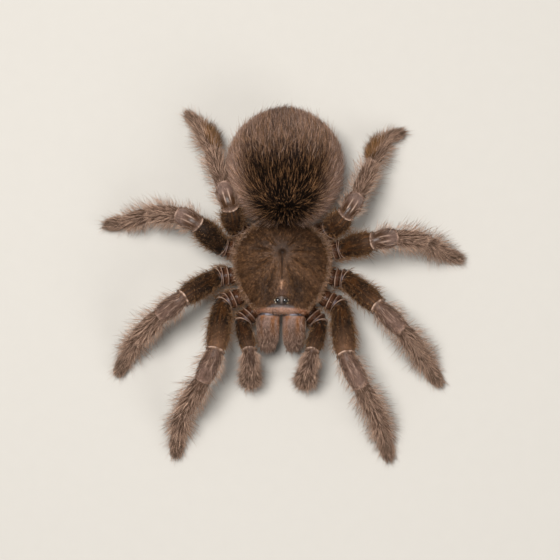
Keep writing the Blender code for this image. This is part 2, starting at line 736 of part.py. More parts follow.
def curved_piece(name, points, tangents, girths, colour, against=None):
    """A tapered piece round a short path, its first ring set against a form if one is given.

    Such paths curve fore and aft, so the width of every ring lies across the animal.
    """
    rings = [ring_round(point, tangent, *girth, sideways=RIGHT_TO_LEFT)
             for point, tangent, girth in zip(points, tangents, girths)]
    if against is not None:
        rings[0] = [slide_to(point, tangents[0], against) for point in rings[0]]
    pieces = [(near, far, max(a), max(b)) for near, far, a, b in zip(points, points[1:], girths, girths[1:])]
    FORMS[name] = lambda point: tube_distance(point, pieces)
    place(loft(name, rings, LIMB_SIDES), points[0], colour)


def jaw(side):
    """One chelicera, which bulges forwards and curves down, and the fang folded back under it."""
    mirror = 1 if side == "l" else -1
    points = [Vector((x * mirror, y, z)) for x, y, z in CHELICERA_PATH]
    tangents = path_tangents(points, first=Vector((0, -1, 0)))
    curved_piece(f"chelicera_{side}", points, tangents, CHELICERA_GIRTHS, CHELICERA_BROWN)
    start = points[-1] + tangents[-1] * GAP
    curve = [start + Vector((x * mirror, y, z)) for x, y, z in FANG_CURVE]
    girths = [(radius, radius) for radius in FANG_RADII]
    curved_piece(f"fang_{side}", curve, path_tangents(curve, first=tangents[-1]), girths, FANG_BLACK)


# Joining and placing

def fuse(piece, others):
    """Joins closed pieces to another in one union and keeps its largest closed surface."""
    collection = bpy.data.collections.new("to join")
    bpy.context.scene.collection.children.link(collection)
    for other in others:
        bpy.context.scene.collection.objects.unlink(other)
        collection.objects.link(other)
    joined = united(piece, collection, "EXACT")
    if not is_closed(joined):
        joined = united(piece, collection, "MANIFOLD")
    piece.data = joined
    for other in others:
        bpy.data.objects.remove(other)
    bpy.data.collections.remove(collection)


def united(piece, collection, solver):
    """The mesh of a piece joined with a collection by a Boolean that is applied."""
    union = piece.modifiers.new("union", "BOOLEAN")
    union.operation = "UNION"
    union.operand_type = "COLLECTION"
    union.collection = collection
    union.solver = solver
    depsgraph = bpy.context.evaluated_depsgraph_get()
    joined = bpy.data.meshes.new_from_object(piece.evaluated_get(depsgraph))
    piece.modifiers.clear()
    keep_largest(joined)
    return joined


def is_closed(mesh):
    """Whether every edge of a mesh lies between two faces."""
    form = bmesh.new()
    form.from_mesh(mesh)
    closed = all(len(edge.link_faces) == 2 for edge in form.edges)
    form.free()
    return closed


def keep_largest(mesh):
    """Leaves only the connected surface with the most faces."""
    form = bmesh.new()
    form.from_mesh(mesh)
    unseen = set(form.faces)
    surfaces = []
    while unseen:
        front = [unseen.pop()]
        surface = list(front)
        while front:
            face = front.pop()
            for edge in face.edges:
                for other in edge.link_faces:
                    if other in unseen:
                        unseen.remove(other)
                        front.append(other)
                        surface.append(other)
        surfaces.append(surface)
    surfaces.sort(key=len)
    for surface in surfaces[:-1]:
        bmesh.ops.delete(form, geom=surface, context="FACES")
    form.to_mesh(mesh)
    form.free()


def place(piece, origin, colour):
    """Gives a piece its origin, its material and its place under the animal, in metres."""
    piece.data.transform(Matrix.Scale(MM, 4) @ Matrix.Translation(-origin))
    piece.location = (origin - BOX_CENTRE) * MM
    piece.parent = ANIMAL
    piece.data.materials.clear()
    piece.data.materials.append(coat_material(piece.name, colour, 0.85))
    piece.data.shade_smooth()
    bpy.context.scene.collection.objects.unlink(piece)
    TARANTULA.objects.link(piece)


CHANCE = random.Random(SEED)
COATS = []

for leftover in list(bpy.data.objects):
    bpy.data.objects.remove(leftover)

TARANTULA = bpy.data.collections.new("tarantula")
bpy.context.scene.collection.children.link(TARANTULA)
ANIMAL = bpy.data.objects.new("animal", None)
TARANTULA.objects.link(ANIMAL)

carapace()
eye_turret()
sternum()
pedicel()
abdomen()
for body_side in ("r", "l"):
    spinneret(body_side)
    jaw(body_side)
    palp(body_side)
    for leg_pair in LEG_PAIRS:
        leg(body_side, leg_pair)
grow_coats()
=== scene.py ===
"""Looks of the Ecuadorian brown velvet tarantula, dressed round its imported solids.

Each limb, the abdomen and every smaller soft form is one skin: a sheet wrapped
round the form's own surface, which takes the place of that form's solids. The
shield over the head and legs, the eyes and the fangs are pieces of their own.
The coat is solid hair in joined meshes, grown from the same surfaces, and skin
and coat take their colours from the same marking functions.

Lengths are millimetres, measured from the middle of the shield as in the
solids' source, and angles are degrees unless a name says turn or lean.
in_row() brings finished meshes to the row frame, in metres. A place on a form
is u, a share of the way round it, and v, a share of the way along it.
"""

import math
from types import SimpleNamespace

import bpy
import numpy as np
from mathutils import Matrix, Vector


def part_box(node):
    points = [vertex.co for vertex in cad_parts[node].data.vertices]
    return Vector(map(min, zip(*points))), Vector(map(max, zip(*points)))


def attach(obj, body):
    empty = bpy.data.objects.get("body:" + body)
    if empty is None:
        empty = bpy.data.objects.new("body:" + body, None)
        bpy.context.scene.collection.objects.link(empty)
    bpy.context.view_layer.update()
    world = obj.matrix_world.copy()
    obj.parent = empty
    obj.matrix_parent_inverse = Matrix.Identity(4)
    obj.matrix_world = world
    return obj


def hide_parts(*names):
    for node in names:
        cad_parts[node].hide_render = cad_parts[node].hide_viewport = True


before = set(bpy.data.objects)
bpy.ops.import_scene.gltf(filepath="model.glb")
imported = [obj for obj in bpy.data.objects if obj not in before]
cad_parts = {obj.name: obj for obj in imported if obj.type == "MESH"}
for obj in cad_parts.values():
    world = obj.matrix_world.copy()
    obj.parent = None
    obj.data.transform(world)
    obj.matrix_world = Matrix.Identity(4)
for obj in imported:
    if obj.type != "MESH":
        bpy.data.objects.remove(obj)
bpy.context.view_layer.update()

MM = 0.001
UP = np.array((0.0, 0.0, 1.0))
BOX_CENTRE = np.array((0.4, -4.75, 0.0))
MIRRORS = {"r": -1, "l": 1}
RANDOM = np.random.default_rng(11)

# Limbs: the same paths and girths as the solids
COXA = ((0.0, 1.6, 2.1), (0.5, 2.3, 2.4), (1.0, 2.8, 2.6))
FEMUR = ((0.0, 2.5, 2.5), (0.25, 2.95, 2.9), (0.65, 3.1, 3.0), (1.0, 2.6, 2.6))
PATELLA = ((0.0, 2.6, 2.6), (0.5, 2.85, 2.8), (1.0, 2.5, 2.5))
TIBIA = ((0.0, 2.45, 2.4), (0.35, 2.65, 2.55), (0.8, 2.5, 2.4), (1.0, 2.2, 2.2))
FOOT = ((0.0, 2.15, 2.15), (0.25, 2.25, 2.15), (0.6, 2.05, 1.9), (0.8, 2.2, 2.0),
        (0.93, 1.95, 1.85), (1.0, 1.6, 1.5))
BRUSH = ((0.0, 2.2, 2.2), (0.3, 2.7, 2.6), (0.7, 2.75, 2.6), (0.9, 2.3, 2.2), (1.0, 1.6, 1.6))
LEG_PROFILES = ((0, 1, COXA), (1, 2, FEMUR), (2, 3, PATELLA), (3, 4, TIBIA), (4, 6, FOOT))
PALP_PROFILES = ((0, 1, COXA), (1, 2, FEMUR), (2, 3, PATELLA), (3, 5, BRUSH))
LEG_PAIRS = {
    1: ((4.8, -5.3), (16.2, -10.8), (17.2, 9.7, 13.0, 9.9, 6.2), (1.0, 1.0)),
    2: ((6.0, -1.8), (18.1, -3.5), (15.9, 9.3, 11.3, 9.2, 6.3), (0.97, 0.97)),
    3: ((6.0, 2.1), (17.1, 5.1), (14.3, 7.6, 11.0, 10.0, 5.6), (1.0, 0.93)),
    4: ((4.8, 5.7), (13.4, 10.4), (14.7, 8.9, 12.7, 11.5, 5.0), (0.96, 0.86)),
}
COXA_HEIGHTS = (7.7, 8.8)
SOLE_HEIGHTS = (2.4, 2.2)
LEG_POSES = {
    ("r", 1): ((-95, 44), (-114, -25), (-121, -33), -105, -94),
    ("l", 1): ((-85, 41), (-62, -13), (-60, -41), -69, -76),
    ("r", 2): ((-146, 51), (-142, -32), (-136, -36), -124, -116),
    ("l", 2): ((-42, 49), (-43, -20), (-48, -45), -53, -57),
    ("r", 3): ((134, 56), (156, -40), (177, -39), -163, -171),
    ("l", 3): ((14, 59), (12, -38), (-5, -34), -29, -17),
    ("r", 4): ((96, 73), (109, -36), (111, -36), 117, 136),
    ("l", 4): ((41, 73), (60, -44), (65, -31), 61, 22),
}
PALP_COXA = ((2.6, -7.6), (10.9, -16.0))
PALP_HEIGHTS = (7.2, 8.0)
PALP_LENGTHS = (10.8, 5.5, 7.2, 5.8)
PALP_GIRTHS = (1.0, 0.76, 0.76, 1.0)
PALP_TIP_HEIGHTS = (1.5,)
PALP_POSES = {
    "r": ((-70, 47), (-89, -25), (-90, -62), -90),
    "l": ((-109, 47), (-101, -25), (-100, -62), -100),
}
LEG_BEND = 3.4
PALP_BEND = 2.6
BEND_STEPS = 12
SAMPLE_STEP = 0.12
SKIN_DEPTH = 0.45
SOLE = 0.35

# Body forms
CARAPACE_OUTLINE = ((-13.0, 6.9), (-12.0, 7.8), (-8.0, 10.6), (-3.0, 12.6), (2.0, 13.1),
                    (6.5, 11.8), (10.0, 8.4), (11.8, 4.6), (12.4, 0.0))
CARAPACE_UNDERSIDE = 11.5
CARAPACE_RIM = 0.7
CARAPACE_RISE = 4.6
CARAPACE_FALL = 2.4
CARAPACE_SINK = 0.3
CAPUT = (0.0, -6.0)
CAPUT_SPREAD = (4.5, 5.0)
CAPUT_RISE = 0.7
FRONT_HALF_WIDTH = 9.5
FRONT_RISE = 2.6
FOVEA = np.array((0.0, 3.7, 0.0))
FOVEA_DEPTH = 0.9
FOVEA_SHARE = 0.06
GROOVE_HEADINGS = (-67.5, -28.9, 6.4, 45.0)
GROOVE_DEPTH = 0.6
GROOVE_HALF_WIDTH = 5.0
GROOVE_START = 0.12
GROOVE_END = 0.85
CREASE_DEPTH = 0.3
RIDGE_HEIGHT = 0.25
LIP_HEIGHT = 0.35
TURRET_CENTRE = np.array((0.0, -9.3, 0.0))
TURRET_SIZE = (1.75, 1.1, 1.0)
TURRET_LIFT = 0.25
EYES = ((0.93, -0.1, 0.6), (1.55, -0.75, 0.3), (1.7, 0.0, 0.3), (1.25, 0.6, 0.24))
EYE_NAMES = ("front_middle_eye", "front_side_eye", "rear_side_eye", "rear_middle_eye")
ABDOMEN_CENTRE = np.array((0.35, 27.1, 14.8))
ABDOMEN_SIZE = np.array((14.3, 13.5, 11.8))
ABDOMEN_BLUNTNESS = 0.82
STERNUM_SIZE = (6.2, 8.0)
STERNUM_HEIGHTS = (5.0, 11.2)
CHELICERA_PATH = ((3.35, -12.6, 12.2), (3.4, -16.2, 12.3), (3.35, -19.2, 11.0), (3.3, -20.9, 8.8),
                  (3.25, -21.3, 6.9))
CHELICERA_GIRTHS = ((3.0, 2.9), (2.95, 3.2), (2.75, 3.1), (2.25, 2.3), (1.5, 1.5))
FANG_PATH = ((3.3, -21.5, 6.8), (3.25, -21.2, 5.1), (3.15, -19.6, 3.5), (3.0, -17.0, 2.7))
FANG_GIRTHS = ((1.15, 1.15), (1.0, 1.0), (0.65, 0.65), (0.12, 0.12))
WAIST_PATH = ((0.0, 7.4, 9.2), (0.0, 13.8, 10.2))
WAIST = ((0, 1.3, 1.3), (0.5, 1.1, 1.1), (1, 1.3, 1.3))
SPINNERET = ((0, 0.95, 0.95), (0.3, 0.85, 0.85), (0.36, 0.7, 0.7), (0.42, 0.8, 0.8), (0.65, 0.66, 0.66),
             (0.7, 0.52, 0.52), (0.76, 0.6, 0.6), (1, 0.3, 0.3))

# The coat's colours: velvet, the long hairs over it, and bare cuticle at the joints
FEMUR_DARK = "#1f1207"
FEMUR_WARM = "#553315"
FEMUR_LIGHT = "#73533d"
PALP_WARM = "#633a1b"
LIMB_VELVET = "#6f5446"
SHIN_VELVET = "#6d5344"
TARSUS_VELVET = "#5e4b3e"
CAP_GREY = "#7c645a"
CAP_BROWN = "#3d2511"
COXA_BROWN = "#4a2e1f"
RING_CREAM = "#c8a893"
STRIPE_CREAM = "#c3a592"
MEDIAN_DARK = "#4f3a2d"
TUFT_ORANGE = "#9a6630"
PAD_ORANGE = "#946c46"
TUFT_TAN = "#a17a59"
HAIR_PALE = "#c4a38d"
CARAPACE_BROWN = "#563a24"
CARAPACE_DARK = "#2a1a0e"
CARAPACE_PALE = "#7b5a44"
CARAPACE_GOLD = "#8d6442"
RIM_PALE = "#a58270"
RIM_ORANGE = "#7d4a2a"
# Painted sheen: the bluish grey of the bare cuticle before the eyes
CLYPEUS_SHEEN_GREY = "#57504f"
JAW_VELVET = "#84685b"
JAW_ORANGE = "#7e4f2b"
# Painted shade at the jaws' roots, in the gap under the front of the shield
JAW_ROOT_SHADE = "#2b2321"
# Painted glint: a bluish white highlight laid into the colour of bare cuticle, on the leg bases and the
# jaw roots
GLINT = "#97909a"
ABDOMEN_DARK = "#190f08"
ABDOMEN_BROWN = "#46301f"
ABDOMEN_PALE = "#a68779"
ABDOMEN_ORANGE = "#936a48"
ABDOMEN_BLOND = "#cdb0a1"
UNDERSIDE_BROWN = "#3d2b20"
MIDLINE_GOLD = "#bd9172"
CAPUT_ROSE = "#604840"
MOUND_BROWN = "#43372f"
# Painted sheen along the crest of the eye mound
MOUND_SHEEN = "#786e69"
SOCKET_BROWN = "#2c221b"
HORN_BLACK = "#16100d"
HORN_CLOUDS = ("#0d0806", "#241510")
CORNEA_CLOUDS = ("#050404", "#14100d")
SIDE_CORNEA_CLOUDS = ("#4f4031", "#a8926f")
FLOOR_PAINT = "#c2bdb5"
AIR = (1.0, 0.99, 0.97, 1)


# Arrays of rows

def linear(hex_colour):
    """An sRGB hex colour as linear red, green and blue."""
    parts = np.array([int(hex_colour[k:k + 2], 16) / 255 for k in (1, 3, 5)])
    return np.where(parts <= 0.04045, parts / 12.92, ((parts + 0.055) / 1.055) ** 2.4)


def unit(rows):
    """Rows of vectors, each brought to length 1."""
    return rows / np.maximum(np.linalg.norm(rows, axis=-1, keepdims=True), 1e-9)


def rise(low, high, value):
    """A smooth step from 0 at low to 1 at high."""
    share = np.clip((value - low) / (high - low), 0.0, 1.0)
    return share * share * (3 - 2 * share)


def between(value, start, full, ebb, end):
    """A smooth band: 1 from full to ebb, and 0 before start and after end."""
    return rise(start, full, value) * (1 - rise(ebb, end, value))


def hump(value, centre, spread):
    """A smooth hump of height 1 at its centre."""
    return np.exp(-((value - centre) / spread) ** 2)


def mix(first, second, share):
    """Rows of colour part of the way from one to another."""
    share = np.clip(np.asarray(share, float), 0.0, 1.0)[..., None]
    return first + (second - first) * share


def layered(colour, *layers):
    """Rows of colour with more colours laid over them in turn, each at its own share."""
    for hex_colour, share in layers:
        colour = mix(colour, linear(hex_colour), share)
    return colour


def plain(hex_colour):
    """A marking of one colour all over."""
    return lambda u, v: np.tile(linear(hex_colour), (len(u), 1))


def grain(x, y, seed):
    """Smooth noise from 0 to 1 over a unit lattice, the same at every run."""
    column = np.floor(x).astype(np.int64)
    row = np.floor(y).astype(np.int64)
    across = rise(0.0, 1.0, x - column)
    down = rise(0.0, 1.0, y - row)

    def corner(i, j):
        mixed = (i * 73856093) ^ (j * 19349663) ^ (seed * 83492791)
        mixed = ((mixed ^ (mixed >> 13)) * 1274126177) & 0xFFFFFFFF
        return ((mixed ^ (mixed >> 16)) & 0xFFFF) / 0xFFFF

    near = corner(column, row) * (1 - across) + corner(column + 1, row) * across
    far = corner(column, row + 1) * (1 - across) + corner(column + 1, row + 1) * across
    return near * (1 - down) + far * down


def in_row(points):
    """Points in the row frame, in metres."""
    return (points - BOX_CENTRE) * MM


def turn_at(u):
    """The turn from a form's upper side, half way round, at a share round it."""
    return 2 * np.pi * (u - 0.5)


def heading_at(u):
    """The heading from +X at a share round a form that is seen from above."""
    return 2 * np.pi * (0.25 - u)


# Middle lines and tubes round them

def direction(heading, pitch):
    """The unit vector with a heading turned from +X and a pitch above the level."""
    heading = math.radians(heading)
    pitch = math.radians(pitch)
    return np.array((math.cos(pitch) * math.cos(heading), math.cos(pitch) * math.sin(heading),
                     math.sin(pitch)))


def rotated(points, axis, angle):
    """Points turned about an axis through the origin."""
    aside = np.cross(axis, points)
    along = axis * np.dot(points, axis) * (1 - math.cos(angle))
    return points * math.cos(angle) + aside * math.sin(angle) + along


def lengths_along(line):
    """How far each point of a line lies along it."""
    steps = np.linalg.norm(np.diff(line, axis=0), axis=1)
    return np.concatenate(([0.0], np.cumsum(steps)))


def limb_line(joints, radius):
    """A limb's middle line with a round bend at each joint, and where each bend's middle lies."""
    headings = [unit(far - near) for near, far in zip(joints, joints[1:])]
    line = [joints[0]]
    middles = []
    for joint, heading_in, heading_out in zip(joints[1:], headings, headings[1:]):
        angle = math.acos(min(1.0, float(np.dot(heading_in, heading_out))))
        reach = radius * math.tan(angle / 2)
        axis = unit(np.cross(heading_in, heading_out))
        centre = joint + unit(heading_out - heading_in) * radius / math.cos(angle / 2)
        start = joint - heading_in * reach - centre
        for k in range(BEND_STEPS + 1):
            line.append(centre + rotated(start, axis, angle * k / BEND_STEPS))
        middles.append(len(line) - 1 - BEND_STEPS // 2)
    line.append(joints[-1])
    line = np.array(line)
    return line, lengths_along(line)[middles]


def softened(values, spread):
    """Values smoothed over a spread of samples."""
    reach = int(3 * spread)
    window = np.exp(-(np.arange(-reach, reach + 1) / spread) ** 2)
    padded = np.pad(values, reach, mode="edge")
    return np.convolve(padded, window / window.sum(), mode="valid")


def smooth_line(points):
    """A round curve through a few points."""
    arcs = lengths_along(points)
    fine = np.linspace(0, arcs[-1], 120)
    line = np.stack([np.interp(fine, arcs, points[:, k]) for k in range(3)], axis=1)
    for _ in range(3):
        line[1:-1] = np.stack([softened(line[:, k], 6.0) for k in range(3)], axis=1)[1:-1]
    return line


def table_girth(table):
    """Girth read from rows of share of the length, half width and half height."""
    table = np.array(table)

    def girth(arc):
        share = arc / arc[-1]
        return np.interp(share, table[:, 0], table[:, 1]), np.interp(share, table[:, 0], table[:, 2])

    return girth


class Tube:
    """A bent round form. Half way round is its upper side, and the seam is underneath.

    Its caps say over what lengths its two ends close. Roundness under 1 makes it boxy.
    """

    def __init__(self, line, girth, caps, sideways=None, roundness=1.0):
        self.roundness = roundness
        arcs = lengths_along(line)
        self.length = arcs[-1]
        self.arc = np.linspace(0.0, self.length, int(self.length / SAMPLE_STEP) + 2)
        self.line = np.stack([np.interp(self.arc, arcs, line[:, k]) for k in range(3)], axis=1)
        self.tangents = unit(np.gradient(self.line, axis=0))
        if sideways is None:
            self.across = unit(np.cross(self.tangents, UP))
        else:
            self.across = unit(sideways - self.tangents * (self.tangents @ sideways)[:, None])
        self.over = np.cross(self.across, self.tangents)
        rounding = np.ones(len(self.arc))
        for cap, left in zip(caps, (self.arc, self.length - self.arc)):
            rounding *= np.sqrt(np.clip(1 - ((cap - np.minimum(left, cap)) / cap) ** 2, 0, 1))
        width, height = girth(self.arc)
        self.width = width * rounding
        self.height = height * rounding

    def at(self, rows, arc):
        """Rows that are given along the form, read at other lengths along it."""
        return np.stack([np.interp(arc, self.arc, rows[:, k]) for k in range(3)], axis=1)

    def slanted(self, arc, turn):
        """Where along the form the girth is read. A limb's joints change it."""
        return arc

    def surface(self, u, v):
        """Points of the surface. None lies lower than the sole."""
        arc = v * self.length
        turn = turn_at(u)
        girth_arc = self.slanted(arc, turn)
        width = np.interp(girth_arc, self.arc, self.width)
        height = np.interp(girth_arc, self.arc, self.height)
        across = np.sign(np.sin(turn)) * abs(np.sin(turn)) ** self.roundness
        over = np.sign(np.cos(turn)) * abs(np.cos(turn)) ** self.roundness
        point = self.at(self.line, arc)
        point += self.at(self.across, arc) * (across * width)[:, None]
        point += self.at(self.over, arc) * (over * height)[:, None]
        point[:, 2] = np.maximum(point[:, 2], SOLE)
        return point

    def flow(self, u, v):
        """Which way the coat runs: on towards the tip, and off it at the tip."""
        return unit(self.at(self.tangents, v * self.length))


def tapered(path, girths, side, caps, roundness=1.0):
    """A form along a smooth curve. Its path is given for the left side."""
    path = np.array(path) * np.array((MIRRORS[side], 1, 1))
    shares = lengths_along(path)
    table = np.column_stack((shares / shares[-1], np.array(girths)))
    return Tube(smooth_line(path), table_girth(table), caps, np.array((-1.0, 0.0, 0.0)), roundness)


# Limbs

# How each joint shows in the skin: a raised pale rim, and a fold of membrane behind it
JOINT_RIMS = (0.0, 0.65, 0.4, 0.5, 0.3)
JOINT_FOLDS = (0.0, 0.15, 0.15, 0.2, 0.15)
RIM_SPREAD = 0.16
FOLD_SPREAD = 0.75
FOLD_BEHIND = 0.8
# Rims of coxa and trochanter, back from where the femur starts
BASE_RIMS = (0.0, 1.3, 3.0)
BASE_RIM_HEIGHT = 0.35
BASE_RIM_SPREAD = 0.22
BASE_FOLD = 0.3
BASE_FOLD_BEHIND = 0.6
# The painted glint on the bare skin of each base: how far back, how long and how wide round the limb
GLINT_BACK = 0.85
GLINT_SPREAD = 0.28
GLINT_TURN = 0.3
# Bare cuticle lies nearer the solids' surface than skin under fur
BASE_SWELL = 0.3
# How far a joint's rims reach back on the upper side
RIM_SLANT = 0.4
# How much the skin of a tarsus narrows to its end, under longer hair
TIP_TAPER = 0.5
LIMB_CAP = 1.2
SOFTENING = 0.35


class Limb(Tube):
    """A leg or palp: a tube that knows where its segments meet."""

    def __init__(self, joints, radius, profiles, girths):
        line, self.meets = limb_line(joints, radius)
        self.ends = np.concatenate(([0.0], self.meets, [lengths_along(line)[-1]]))
        self.profiles = profiles
        self.girths = girths
        super().__init__(line, self.girth, (LIMB_CAP, LIMB_CAP))

    def girth(self, arc):
        """Half width and half height, with rims and folds at the joints."""
        width = np.zeros(len(arc))
        height = np.zeros(len(arc))
        for (first, last, profile), girth in zip(self.profiles, self.girths):
            near, far = self.ends[first], self.ends[last]
            inside = (arc >= near) & (arc <= far + 1e-6)
            share = (arc[inside] - near) / (far - near)
            table = np.array(profile)
            width[inside] = np.interp(share, table[:, 0], table[:, 1]) * girth - SKIN_DEPTH
            height[inside] = np.interp(share, table[:, 0], table[:, 2]) * girth - SKIN_DEPTH
        ridge = np.zeros(len(arc))
        for meet, rim, fold in zip(self.meets[1:], JOINT_RIMS[1:], JOINT_FOLDS[1:]):
            ridge += rim * hump(arc, meet - 0.1, RIM_SPREAD)
            ridge -= fold * hump(arc, meet + FOLD_BEHIND, FOLD_SPREAD)
        start = self.meets[0]
        ridge += BASE_SWELL * between(arc, start - 6.0, start - 4.0, start, start + 1.0)
        for back in BASE_RIMS:
            ridge += BASE_RIM_HEIGHT * hump(arc, start - back, BASE_RIM_SPREAD)
            ridge -= BASE_FOLD * hump(arc, start - back - BASE_FOLD_BEHIND, BASE_RIM_SPREAD)
        ridge -= TIP_TAPER * rise(self.meets[-1], self.ends[-1], arc)
        spread = SOFTENING / SAMPLE_STEP
        return softened(width, spread) + ridge, softened(height, spread) + ridge

    def slanted(self, arc, turn):
        """Rims reach back on the upper side, so a place there reads the girth further on."""
        shift = hump(arc, self.meets[0] - 1.4, 2.2)
        for meet in self.meets[1:]:
            shift = shift + hump(arc, meet, 1.2)
        return arc + RIM_SLANT * shift * np.cos(turn)

    def place(self, u, v):
        """Arc length, as the rims slant, and turn from the upper side."""
        turn = turn_at(u)
        return self.slanted(v * self.length, turn), turn

    def steps(self, v):
        """Shares of the length that lie close together where rims stand up."""
        weight = np.ones(len(self.arc))
        for meet in self.meets[1:]:
            weight += 4 * hump(self.arc, meet, 0.7)
        weight += 4 * hump(self.arc, self.meets[0] - BASE_RIMS[1], 2.2)
        reached = np.concatenate(([0.0], np.cumsum((weight[1:] + weight[:-1]) / 2)))
        return np.interp(v, reached / reached[-1], self.arc / self.length)


def limb_form(side, coxa, heights, lengths, pose, tip_heights, bend, profiles, girths):
    """A limb from its coxa out. Its last segments are posed by heading, and end at given heights."""
    joints = [np.array((x * MIRRORS[side], y, height)) for (x, y), height in zip(coxa, heights)]
    posed = len(lengths) - len(tip_heights)
    for length, (heading, pitch) in zip(lengths, pose[:posed]):
        joints.append(joints[-1] + direction(heading, pitch) * length)
    for length, heading, height in zip(lengths[posed:], pose[posed:], tip_heights):
        pitch = math.degrees(math.asin((height - joints[-1][2]) / length))
        joints.append(joints[-1] + direction(heading, pitch) * length)
    return Limb(joints, bend, profiles, girths)


def leg_form(side, pair):
    """The form of one leg."""
    inner, root, lengths, (thigh, shin) = LEG_PAIRS[pair]
    return limb_form(side, (inner, root), COXA_HEIGHTS, lengths, LEG_POSES[side, pair], SOLE_HEIGHTS,
                     LEG_BEND, LEG_PROFILES, (1.0, thigh, thigh, shin, shin))


def palp_form(side):
    """The form of one palp."""
    return limb_form(side, PALP_COXA, PALP_HEIGHTS, PALP_LENGTHS, PALP_POSES[side], PALP_TIP_HEIGHTS,
                     PALP_BEND, PALP_PROFILES, PALP_GIRTHS)


# How strongly each pair shows the pale end of the femur, the patella's stripes, the
# tibia's stripe, and the rings at the four joints from the knee on
PAIR_MARKS = {
    1: (0.75, 0.5, 0.45, (1.0, 0.6, 0.5, 0.45)),
    2: (0.25, 0.45, 0.6, (1.0, 0.55, 0.55, 0.4)),
    3: (0.2, 0.9, 0.35, (0.95, 0.75, 0.85, 0.4)),
    4: (0.15, 1.0, 0.3, (1.0, 0.7, 1.0, 0.4)),
    "palp": (0.6, 0.2, 0.1, (0.9, 0.25, 0.0, 0.0)),
}
LEG_COLOURS = (COXA_BROWN, FEMUR_DARK, LIMB_VELVET, SHIN_VELVET, SHIN_VELVET, TARSUS_VELVET)
PALP_COLOURS = (COXA_BROWN, FEMUR_DARK, LIMB_VELVET, SHIN_VELVET, SHIN_VELVET)
RING_WIDTH = 0.12
STRIPE_TURN = 0.36
STRIPE_WIDTH = 0.07


def patella_share(limb, arc):
    """How far along the patella a length lies."""
    return (arc - limb.meets[1]) / (limb.meets[2] - limb.meets[1])


def knee_cap(limb, stripes, arc, turn):
    """Share of the bare upper side of a patella."""
    along = between(patella_share(limb, arc), 0.03, 0.1, 0.9, 1.0)
    return stripes * along * (1 - rise(1.0, 1.4, abs(turn)))


def tuft_share(limb, inner_side, arc, turn):
    """Where the orange tuft stands: on the inner side of a hind metatarsus."""
    metatarsus = (arc - limb.ends[4]) / (limb.ends[5] - limb.ends[4])
    return hump(metatarsus, 0.34, 0.28) * rise(0.1, 0.7, np.sin(turn) * inner_side)


def thigh_marking(colour, limb, warm, pale_end, thigh_shade, u, arc, turn):
    """Dark brown with warm streaks, stronger on top as painted light and leaving the flanks darker as
    painted shade, paler towards the knee, and darkened as a whole by painted shade.
    """
    femur = (arc - limb.meets[0]) / (limb.meets[1] - limb.meets[0])
    on_femur = between(femur, -0.02, 0.02, 0.98, 1.02)
    streak = rise(0.25, 0.75, grain(u * 34 + 7, arc * 0.3, 21))
    upper = 1 - rise(0.6, 1.5, abs(turn))
    # The warm streaks are stronger on top as painted light, leaving the flanks darker as painted shade
    colour = layered(colour, (warm, on_femur * (0.2 + 0.6 * upper) * streak),
                     (FEMUR_LIGHT, on_femur * pale_end * rise(0.35, 0.95, femur)))
    # Painted shade: each thigh darkened as a whole where the light leaves it
    return colour * (1 + on_femur * (thigh_shade - 1))[:, None]


def knee_marking(colour, limb, stripes, u, arc, turn):
    """The patella's bare cap: brown, then grey, with two stripes and a worn outline."""
    patella = patella_share(limb, arc)
    cap = knee_cap(limb, stripes, arc, turn)
    oval = np.hypot(np.clip(patella - 0.5, 0, None) / 0.45, turn / 1.2)
    outline = hump(oval, 1.0, 0.06) * between(patella, 0.02, 0.1, 0.95, 1.0)
    worn = 0.35 + 0.65 * rise(0.3, 0.6, grain(u * 40, arc * 0.7, 27))
    along = between(patella, 0.12, 0.25, 0.42, 0.6)
    lines = hump(abs(turn), STRIPE_TURN * (1 - 0.3 * patella), STRIPE_WIDTH)
    return layered(colour, (CAP_GREY, 0.85 * cap),
                   (CAP_BROWN, 0.95 * cap * (1 - rise(0.2, 0.55, patella))),
                   (RING_CREAM, 0.55 * stripes * outline * worn),
                   (STRIPE_CREAM, 0.85 * stripes * along * lines))


def shin_marking(colour, limb, shin_stripe, u, arc, turn):
    """A pale stripe down the tibia, and fine streaks all the way from the knee."""
    tibia = (arc - limb.meets[2]) / (limb.ends[4] - limb.meets[2])
    along = between(tibia, 0.05, 0.2, 0.6, 0.95)
    stripe = shin_stripe * along * hump(turn, 0.15, STRIPE_WIDTH)
    streaks = 0.28 * (grain(u * 42, arc * 0.25, 23) - 0.5)
    beyond = rise(limb.meets[1], limb.meets[1] + 0.5, arc)
    return layered(colour, (STRIPE_CREAM, stripe)) * (1 + streaks * beyond)[:, None]


def tarsus_marking(colour, limb, u, arc, turn):
    """Dark streaks on top of a leg's last segment, and paler sides."""
    tarsus = rise(limb.meets[4] - 0.2, limb.meets[4] + 0.3, arc)
    streaks = rise(0.5, 0.75, grain(u * 18 + 3, arc * 0.2, 25)) * (1 - rise(0.6, 1.2, abs(turn)))
    return layered(colour, (MEDIAN_DARK, 0.25 * tarsus * streaks),
                   (HAIR_PALE, 0.3 * tarsus * rise(0.8, 1.5, abs(turn))))


